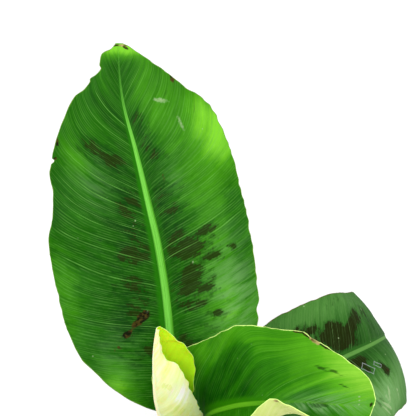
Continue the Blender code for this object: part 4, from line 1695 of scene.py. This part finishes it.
TALL_LEAF = Leaf(
    name="tall_leaf",
    node="leaf_tall",
    slot="leaf_tall",
    finish=LeafFinish(
        body=skin(44, 110, 16),
        light=skin(76, 158, 32),
        vein=skin(118, 188, 84),
        vein_strength=0.62,
        fine_strength=0.24,
        blotch=skin(44, 58, 14),
        blotch_strength=0.87,
        streak=0.34,
        rib_end=300.0,
    ),
    rib_width=((1.0, 1.15, 1.5, 1.8, 2.0), (4.6, 4.2, 3.3, 1.4, 0.4)),
    heading=110.0,
    radius=0.0065,
    mouth=0.215,
    blade_start=0.150,
    rib=(
        (-0.007, 0.013, 0.238), (-0.012, 0.024, 0.269), (-0.015, 0.050, 0.309), (-0.020, 0.080, 0.350),
        (-0.027, 0.104, 0.385), (-0.035, 0.125, 0.412), (-0.045, 0.149, 0.446), (-0.056, 0.175, 0.481),
        (-0.059, 0.201, 0.519),
    ),
    sides=((1.0, (1, 0, 0.05)), (1.5, (1, 0.05, 0.07)), (2.0, (1, 0.1, 0))),
    half_left=(
        (0, 0.03, 0.1, 0.2, 0.3, 0.45, 0.6, 0.75, 0.86, 0.91, 0.94, 0.97, 0.978, 0.984, 0.992, 1),
        (2, 21, 54, 76, 83, 86.5, 80, 66, 41, 25, 15, 12.5, 9.5, 5, 2.5, 0.5),
    ),
    half_right=(
        (0, 0.03, 0.1, 0.2, 0.3, 0.45, 0.6, 0.75, 0.86, 0.95, 0.975, 0.99, 1),
        (2, 32, 58, 70, 73.5, 74.5, 75, 70, 50.5, 26, 14.5, 8, 1.5),
    ),
    fold_left=((0, 1, 1.3, 2), (0, 25, 12, 10)),
    fold_right=((0, 1, 1.3, 2), (0, 25, 12, 8)),
    bend_left=((0, 1, 1.3, 2), (0, 10, -10, -5)),
    bend_right=((0, 1, 1.3, 2), (0, 10, -12, -5)),
    sweep_left=(
        (0.0, 0.2, 0.35, 0.45, 0.6, 0.7, 0.8, 1.0),
        (-0.05, 0.08, 0.25, 0.42, 0.6, 0.8, 1.05, 2.0),
    ),
    sweep_right=(
        (0.0, 0.2, 0.35, 0.5, 0.65, 0.7, 0.8, 1.0),
        (-0.05, 0.14, 0.25, 0.26, 0.37, 0.46, 0.78, 1.6),
    ),
    seed=11,
    waves=((0.003, 4.0), (0.002, 5.0)),
    teeth=(0.25, 0.55),
    notches=(
        Notch(-1, 293, 3.2, 4.0),
        Notch(-1, 283, 4.0, 4.5),
        Notch(-1, 234, 2.4, 1.6),
        Notch(-1, 196, 4.4, 20.0),
    ),
    tone=((0.0, 0.3, 1.0), (0.18, 0.23, 0.32)),
    patches=(
        # Painted light on the blade, its margins and tip
        *marks(
            Mark.GLOW,
            (250, 58, 22, 14, 0.26), (222, 72, 30, 17, 0.60), (160, 52, 90, 26, 0.20),
            (80, 56, 45, 24, 0.35), (265, 22, 34, 20, 0.31), (195, 45, 32, 18, 0.12),
            (225, 5, 60, 45, 0.04), (312, 2, 8, 22, 0.85), (25, -48, 24, 16, 0.50),
            (122, -82, 40, 14, 0.22), (228, -52, 20, 12, 0.24),
        ),
        # Painted shade
        *marks(
            Mark.SHADE,
            (78, -36, 32, 16, 0.14), (150, -30, 60, 16, 0.05), (214, -22, 26, 12, 0.10, -34),
            (165, -18, 40, 12, 0.07), (190, 14, 60, 10, 0.09), (245, 8, 25, 8, 0.08),
            (178, -78, 14, 8, 0.14), (115, 68, 50, 8, 0.14), (165, 72, 14, 8, 0.06),
        ),
        *marks(
            Mark.BLOTCH,
            (132, 24, 9, 19, 1.0), (127, 45, 3, 8, 0.9), (115, 20, 8, 15, 1.0), (103, 28, 6, 20, 1.05),
            (90, 18, 5, 13, 0.8), (147, 41, 4, 7, 0.8), (132, 62, 3, 4, 0.8), (149, 18, 9, 15, 0.72),
            (168, 18, 9, 14, 0.55), (188, 16, 10, 13, 0.45), (223, 13, 12, 9, 0.45), (250, 8, 8, 8, 0.5),
            (82, 40, 3, 6, 0.7), (60, 18, 12, 26, 0.5), (238, -38, 9, 7, 0.5),
            (219, -21, 24, 10, 0.54, -34), (184, -18, 12, 13, 0.66), (160, -17, 15, 13, 0.68),
            (135, -22, 12, 17, 0.64), (112, -26, 10, 17, 0.6), (92, -24, 10, 12, 0.6),
            (57, -26, 13, 12, 0.65),
        ),
        # A pale film: partly waxy bloom, partly a painted sheen
        *marks(
            Mark.BLOOM,
            (92, 58, 40, 18, 1.3), (50, -48, 26, 20, 0.35), (205, -42, 22, 14, 0.5),
            (195, 26, 16, 10, 0.4),
        ),
        *marks(
            Mark.SCUFF,
            (261, 31, 3.4, 9, 0.86, 25), (236, 43, 9, 2.2, 0.80, -10), (124, 27, 2.2, 0.9, 0.9, 15),
            (87, -18, 1.5, 1.5, 1.2),
        ),
        *marks(
            Mark.ROT,
            (84, -21, 4.5, 6.5, 1.2, -30), (78, -28, 2.6, 5, 0.9, -25), (70, -37, 3.2, 5.5, 1.1, -25),
            (60, -43, 3, 12, 0.55, -20), (198, 18, 5, 4, 0.5), (314, -3, 1.3, 4, 0.9),
            (312, 6, 1.4, 4, 0.9, 30), (284, 44, 7, 2.4, 1.1), (250, -62, 8, 1.8, 1.1),
            (236, -67, 1.5, 2.0, 1.0),
        ),
        *marks(Mark.DRY, (313, -9, 1.6, 6, 0.8, -35), (314, 4, 1.3, 6, 0.7)),
    ),
    blade_rows=290,
    blade_columns=58,
)

ARCHING_LEAF = Leaf(
    name="arching_leaf",
    node="leaf_arching",
    slot="leaf_arching",
    finish=LeafFinish(
        deep=skin(30, 66, 24),
        body=skin(60, 115, 46),
        light=skin(92, 150, 70),
        lime=skin(130, 180, 106),
        rib=skin(112, 168, 82),
        rib_groove_shade=skin(58, 112, 44),
        vein=skin(116, 160, 92),
        vein_strength=0.45,
        blotch=skin(44, 46, 24),
        margin=skin(120, 96, 50),
        streak=0.36,
        roughness=0.58,
        scrapes=(Scrape(152.5, 18, 6.5, 2.6, 42), Scrape(164, 18.5, 4.0, 1.5, 42)),
    ),
    rib_width=((1.0, 1.15, 1.5, 1.8, 2.0), (4.0, 3.0, 1.9, 1.1, 0.5)),
    heading=48.0,
    radius=0.0113,
    mouth=0.185,
    blade_start=0.125,
    rib=(
        (0.012, 0.012, 0.205), (0.022, 0.022, 0.238), (0.040, 0.038, 0.246), (0.063, 0.050, 0.251),
        (0.098, 0.068, 0.255), (0.138, 0.085, 0.265), (0.163, 0.103, 0.262), (0.178, 0.125, 0.249),
        (0.185, 0.146, 0.231), (0.185, 0.166, 0.208), (0.182, 0.185, 0.185), (0.177, 0.203, 0.161),
        (0.171, 0.219, 0.136),
    ),
    sides=(
        (1.0, (0.7, -0.65, -0.25)),
        (1.3, (0.52, -0.6, -0.6)),
        (1.5, (0.42, -0.58, -0.70)),
        (2.0, (0.40, -0.6, -0.70)),
    ),
    half_left=(
        (0, 0.05, 0.15, 0.3, 0.45, 0.55, 0.7, 0.85, 0.95, 1),
        (2, 26, 42, 54, 53, 49.5, 44.5, 34, 18, 3),
    ),
    half_right=(
        (0, 0.05, 0.15, 0.3, 0.5, 0.6, 0.7, 0.85, 0.95, 1),
        (2, 26, 42, 54, 66, 64, 56.5, 40, 20, 3),
    ),
    fold_left=((0, 1, 1.3, 1.55, 2), (0, 25, 5, -6, 0)),
    fold_right=((0, 1, 1.3, 1.6, 2), (0, 25, 8, 12, 5)),
    bend_left=((0, 1, 1.3, 1.55, 2), (0, 10, -14, -18, -5)),
    bend_right=((0, 1, 1.3, 1.6, 2), (0, 10, -20, -44, -15)),
    sweep_left=((0.0, 0.3, 0.6, 0.85, 1.0), (0.0, 0.25, 0.35, 0.8, 1.4)),
    sweep_right=((0.0, 0.3, 0.6, 0.85, 1.0), (0.0, 0.25, 0.35, 0.8, 1.4)),
    seed=23,
    waves=((0.002, 4.0), (0.002, 5.0)),
    patches=(
        # Painted light
        *marks(Mark.GLOW, (130, -48, 60, 14, 0.20), (165, 52, 34, 22, 0.56), (212, 32, 30, 24, 0.28)),
        # Painted shade
        *marks(Mark.SHADE, (150, -14, 30, 16, 0.08)),
        *marks(
            Mark.BLOTCH,
            (135, -20, 17, 13, 1.15, 0, 2), (162, -26, 18, 7, 1.1, -30, 2), (116, -35, 12, 5, 0.9),
            (107, -40, 5, 4, 0.6), (184, -27, 7, 9, 0.6), (148.5, 9.5, 10, 5, 1.5, 30),
            (172, 26, 10, 4.5, 1.15, 40), (150, -13, 8, 9, 0.72, 0, 2), (152, 19, 4, 2.2, 1.2, 42),
        ),
        # A grey film: a painted sheen over the waxy bloom
        *marks(Mark.BLOOM, (165, 48, 26, 18, 2.8), (176, -40, 22, 12, 0.5)),
        *marks(
            Mark.SCUFF,
            (166.5, 45.5, 7, 1.2, 1.5, 98), (160, 56, 9, 1.2, 1.6, 44), (162, 49, 9, 2.6, 0.75, 80),
            (158, 60, 10, 1.1, 1.1, 50), (185, 48, 2.6, 1.2, 1.3, 20), (187, 54, 6, 1.1, 1.1, 75),
            (186, -32, 1.3, 9, 0.7, 15),
        ),
        *marks(Mark.ROT, (173, 27, 8, 3, 0.6, 40), (149.5, 9.5, 6, 3, 0.35, 30)),
    ),
)

CUPPED_LEAF = Leaf(
    name="cupped_leaf",
    node="leaf_cupped",
    slot="leaf_cupped",
    finish=LeafFinish(
        deep=skin(26, 82, 10),
        body=skin(54, 134, 20),
        light=skin(98, 186, 38),
        lime=skin(158, 228, 70),
        rib=skin(124, 204, 50),
        rib_groove_shade=skin(60, 140, 24),
        vein=skin(126, 206, 84),
        vein_strength=0.45,
        fine_strength=0.13,
        blotch_strength=0.5,
        margin=srgb(220, 250, 140),
        margin_width=0.4,
        under=skin(212, 236, 122),
        under_pale=skin(236, 246, 160),
        under_rib=skin(230, 242, 140),
        streak=0.32,
        cloud=0.18,
        dust=0.15,
        rib_end=150.0,
    ),
    rib_width=((1.0, 1.15, 1.5, 1.7, 2.0), (4.6, 4.0, 2.6, 1.2, 0.4)),
    heading=335.0,
    radius=0.0042,
    mouth=0.240,
    blade_start=0.145,
    rib=(
        (0.007, -0.004, 0.262), (0.015, -0.012, 0.294), (0.033, -0.024, 0.318), (0.057, -0.043, 0.344),
        (0.084, -0.062, 0.366), (0.111, -0.081, 0.384), (0.133, -0.095, 0.399),
    ),
    sides=((1.0, (-0.36, -0.9, -0.05)), (1.5, (-0.36, -0.88, -0.14)), (2.0, (-0.36, -0.9, -0.15))),
    half_left=(
        (0, 0.03, 0.07, 0.12, 0.25, 0.35, 0.43, 0.5, 0.6, 0.67, 0.70, 0.75, 0.82, 0.88, 0.96, 1),
        (3, 30, 49, 55, 56, 55, 56.5, 56, 53.5, 50, 44.5, 39.5, 34.5, 29, 17, 3),
    ),
    half_right=(
        (0, 0.05, 0.12, 0.25, 0.4, 0.6, 0.75, 0.88, 0.95, 0.985, 1),
        (3, 30, 46, 52, 52, 50, 46, 38, 30, 20, 9),
    ),
    fold_left=((0, 1, 1.3, 2), (0, 60, 40, 10)),
    fold_right=((0, 1, 1.06, 1.55, 1.76, 1.9, 2), (0, 40, 12, 8, 16, 0, -10)),
    bend_left=((0, 1, 1.3, 2), (0, 40, 30, 5)),
    bend_right=(
        (0, 1, 1.3, 1.58, 1.66, 1.73, 1.80, 1.87, 1.93, 2),
        (0, 15, 20, 30, 62, 86, 76, 74, 50, 10),
    ),
    sweep_left=((0.0, 0.3, 0.45, 0.6, 0.75, 1.0), (0.5, 0.85, 1.0, 1.6, 2.2, 3.0)),
    sweep_right=((0.0, 0.3, 0.6, 1.0), (0.3, 0.5, 0.8, 1.4)),
    seed=37,
    channel=(6.0, 5.0, 4.2, 3.5, 1.2),
    waves=((0.003, 3.0), (0.002, 4.0)),
    tone=((0.0, 0.3, 1.0), (0.34, 0.36, 0.44)),
    patches=(
        # Painted light; the three narrow turned patches are pale lines
        *marks(
            Mark.GLOW,
            (52, -50, 24, 12, 0.07), (200, -22, 40, 28, 0.50), (150, -40, 30, 14, 0.20),
            (148, -12, 24, 1.2, 0.26, -21), (164, -6.5, 22, 1.1, 0.24, -13), (172, 0, 24, 1.1, 0.20, 3),
        ),
        # Painted shade: the first three the shadow that the rolled leaf casts on this one
        *marks(
            Mark.SHADE,
            (64, -27, 38, 13, 0.22, -26, 5), (78, -14, 50, 17, 0.13, -18), (86, -13, 24, 9, 0.13, -20),
            (175, 14, 20, 10, 0.16), (158, -9.5, 22, 2.4, 0.18, -17),
        ),
        *marks(
            Mark.BLOTCH,
            (160, -26, 5, 1.1, 1.0, 15), (173, -24, 6, 1.0, 0.9, 15), (184, -14, 6, 1.0, 0.9, 15),
            (166, 2, 7, 4, 0.9),
        ),
        # A grey-green film: partly waxy bloom, partly a painted sheen
        *marks(Mark.BLOOM, (162, 4, 30, 9, 2.0), (185, 1, 22, 8, 1.8)),
        *marks(
            Mark.SCUFF,
            (198.5, -6.5, 1.2, 1.0, 1.1), (199.5, -3.5, 1.2, 1.0, 1.0), (200.5, 0, 1.1, 0.9, 1.0),
        ),
        *marks(
            Mark.ROT,
            (151, -49, 12, 2.6, 1.9, 32), (164, -42, 7, 1.9, 1.7, 20), (139, -55, 4, 1.6, 1.3),
            (211, 0, 2.0, 2.6, 0.8), (158, 46, 3, 2, 0.9), (160, 49, 2.4, 1.8, 1.2),
            (152, 48, 6, 1.2, 0.7),
        ),
        *marks(Mark.DRY, (152, -46, 7, 2.4, 0.8, 32), (161, 47, 5, 2.6, 0.6)),
    ),
)

ROLLED_LEAF = Leaf(
    name="rolled_leaf",
    node="leaf_rolled",
    # Its colours are given in full, not through skin: brighter than a leaf's own, a painted glow for light
    # shining through the young leaf
    slot="leaf_rolled",
    finish=LeafFinish(
        deep=srgb(160, 216, 26),
        body=srgb(186, 234, 34),
        light=srgb(208, 244, 36),
        lime=srgb(226, 248, 44),
        rib=srgb(220, 236, 120),
        rib_groove_shade=srgb(176, 220, 60),
        vein=srgb(208, 240, 80),
        vein_strength=0.25,
        fine_strength=0.04,
        blotch=srgb(206, 214, 70),
        blotch_strength=1.0,
        margin=srgb(222, 240, 110),
        margin_width=0.2,
        under=srgb(224, 212, 96),
        under_pale=srgb(246, 236, 190),
        under_rib=srgb(240, 234, 184),
        under_bloom_and_sheen=srgb(255, 228, 222),
        under_streak=0.45,
        streak=0.14,
        cloud=0.10,
        roughness=0.45,
        glow_through=0.5,
    ),
    heading=180.0,
    radius=0.0020,
    mouth=0.250,
    blade_start=0.148,
    rib=(
        (-0.007, -0.002, 0.263), (-0.0185, -0.006, 0.281), (-0.0235, -0.009, 0.304),
        (-0.0255, -0.010, 0.337), (-0.0255, -0.006, 0.362), (-0.023, -0.003, 0.385),
    ),
    sides=((1.0, (0.1, 1, 0)), (1.5, (0.2, 1, 0)), (2.0, (0.2, 1, 0))),
    half_left=(
        (0, 0.08, 0.2, 0.3, 0.39, 0.47, 0.57, 0.67, 0.72, 0.775, 0.787, 0.87, 1),
        (3, 10, 32, 43, 41, 39, 34, 30, 25, 18.5, 12.5, 6, 2),
    ),
    half_right=(
        (0, 0.08, 0.2, 0.3, 0.44, 0.52, 0.61, 0.71, 0.79, 0.845, 0.858, 0.9, 1),
        (3, 10, 25, 30, 32, 32.5, 34, 33, 28, 23.5, 19.5, 15, 2),
    ),
    fold_left=((0, 1, 1.3, 2), (0, 45, 30, 30)),
    fold_right=((0, 1, 1.3, 2), (0, 45, 22, 20)),
    bend_left=((0, 1, 1.3, 2), (0, 85, 118, 110)),
    bend_right=((0, 1, 1.3, 1.45, 1.65, 2), (0, 85, 112, 108, 90, 80)),
    sweep_left=((0.0, 0.5, 1.0), (0.6, 1.0, 1.6)),
    sweep_right=((0.0, 0.5, 1.0), (0.6, 1.0, 1.6)),
    seed=53,
    channel=(3.4, 4.0, 3.5, 3.0, 1.0),
    waves=((0.0, 1.0), (0.0, 1.0)),
    tone=((0.0, 0.5, 1.0), (0.4, 0.5, 0.55)),
    patches=(
        # Painted light inside the roll
        *marks(Mark.GLOW, (105, 14, 20, 12, 0.3)),
        *marks(Mark.BLOTCH, (79, -17, 3, 5, 0.8), (58, -28, 6, 5, 0.8), (92, -18, 6, 4, 0.6)),
        # Painted white highlights on the underside, over its waxy bloom
        *marks(Mark.BLOOM, (73, -27, 8, 7, 2.2), (112, -5, 12, 3, 0.9), (85, -8, 10, 4, 0.6)),
        *marks(Mark.ROT, (87, -31, 2.5, 1.5, 1.0), (80, -35, 1.5, 1.0, 0.8)),
        *marks(Mark.DRY, (92, -28, 2, 1.5, 0.8), (127, 0, 2, 3, 0.6)),
    ),
    teeth=(0.8, 0.4),
    blade_rows=190,
    blade_columns=44,
)

FRONT_LEAF = Leaf(
    name="front_leaf",
    node="leaf_front",
    slot="leaf_lower",
    finish=LeafFinish(),
    heading=265.0,
    radius=0.0089,
    mouth=0.205,
    blade_start=0.155,
    rib=(
        (-0.002, -0.014, 0.228), (-0.004, -0.034, 0.255), (-0.007, -0.070, 0.276), (-0.012, -0.110, 0.282),
        (-0.020, -0.150, 0.272), (-0.030, -0.190, 0.246), (-0.040, -0.224, 0.208), (-0.048, -0.244, 0.170),
    ),
    sides=((1.0, (-1, 0.1, 0)), (1.5, (-1, 0.15, 0.1)), (2.0, (-1, 0.25, 0.15))),
    half_left=((0, 0.05, 0.15, 0.3, 0.5, 0.7, 0.85, 0.95, 1), (2, 26, 42, 50, 52, 46, 32, 16, 3)),
    half_right=((0, 0.05, 0.15, 0.3, 0.5, 0.7, 0.85, 0.95, 1), (2, 26, 42, 50, 54, 46, 32, 16, 3)),
    seed=67,
    patches=(
        # Painted light
        *marks(Mark.GLOW, (160, -40, 60, 14, 0.25)),
        *marks(Mark.BLOTCH, (130, 24, 50, 20, 1.0), (80, -22, 40, 16, 0.8), (190, -18, 30, 14, 0.6)),
        # A pale film: partly waxy bloom, partly a painted sheen
        *marks(Mark.BLOOM, (120, -25, 50, 20, 0.6)),
        *marks(Mark.DRY, (268, 0, 8, 10, 0.9)),
    ),
    blade_rows=200,
)

LOW_LEAF = Leaf(
    name="low_leaf",
    node="leaf_low",
    slot="leaf_lower",
    finish=LeafFinish(body=skin(58, 116, 34), margin=skin(170, 150, 80), margin_width=1.0),
    heading=205.0,
    radius=0.0137,
    mouth=0.165,
    blade_start=0.115,
    rib=(
        (-0.016, -0.008, 0.186), (-0.032, -0.015, 0.212), (-0.062, -0.028, 0.232), (-0.096, -0.044, 0.236),
        (-0.130, -0.058, 0.222), (-0.158, -0.070, 0.196), (-0.176, -0.078, 0.164),
    ),
    sides=((1.0, (-0.42, 0.9, 0)), (1.5, (-0.42, 0.9, 0.1)), (2.0, (-0.42, 0.9, 0.2))),
    half_left=((0, 0.05, 0.15, 0.3, 0.5, 0.7, 0.85, 0.95, 1), (2, 20, 33, 42, 44, 38, 27, 14, 3)),
    half_right=((0, 0.05, 0.15, 0.3, 0.5, 0.7, 0.85, 0.95, 1), (2, 20, 33, 42, 44, 38, 27, 14, 3)),
    seed=79,
    channel=(8.5, 5.5, 4.5, 3.5, 1.2),
    patches=(
        # Painted light
        *marks(Mark.GLOW, (110, -34, 40, 12, 0.3)),
        *marks(Mark.BLOTCH, (90, 18, 40, 16, 1.0), (60, -18, 30, 14, 0.7)),
        *marks(Mark.DRY, (196, 0, 10, 14, 1.0), (120, 42, 20, 4, 0.7)),
    ),
    blade_rows=190,
    blade_columns=42,
)

LEAVES = (TALL_LEAF, ARCHING_LEAF, CUPPED_LEAF, ROLLED_LEAF, FRONT_LEAF, LOW_LEAF)


def main() -> None:
    """Builds the plant, its pot and the studio, and works out the boxes of the solids and of what is shown."""
    logging.basicConfig(level=logging.INFO, format="%(message)s")
    pot = Pot()
    soil = Soil(pot)
    builders = [leaf.build for leaf in LEAVES]
    builders += [DrySheath().build, soil.build_bed, soil.build_crumbs, pot.build]
    for build in builders:
        piece = build()
        LOG.info("%s: %d faces", piece.name, len(piece.data.polygons))
    Studio().build()
    boxes = {"cad": [list(corner) for corner in CAD_BOX], "shown": [list(corner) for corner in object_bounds()]}


if __name__ == "__main__":
    main()
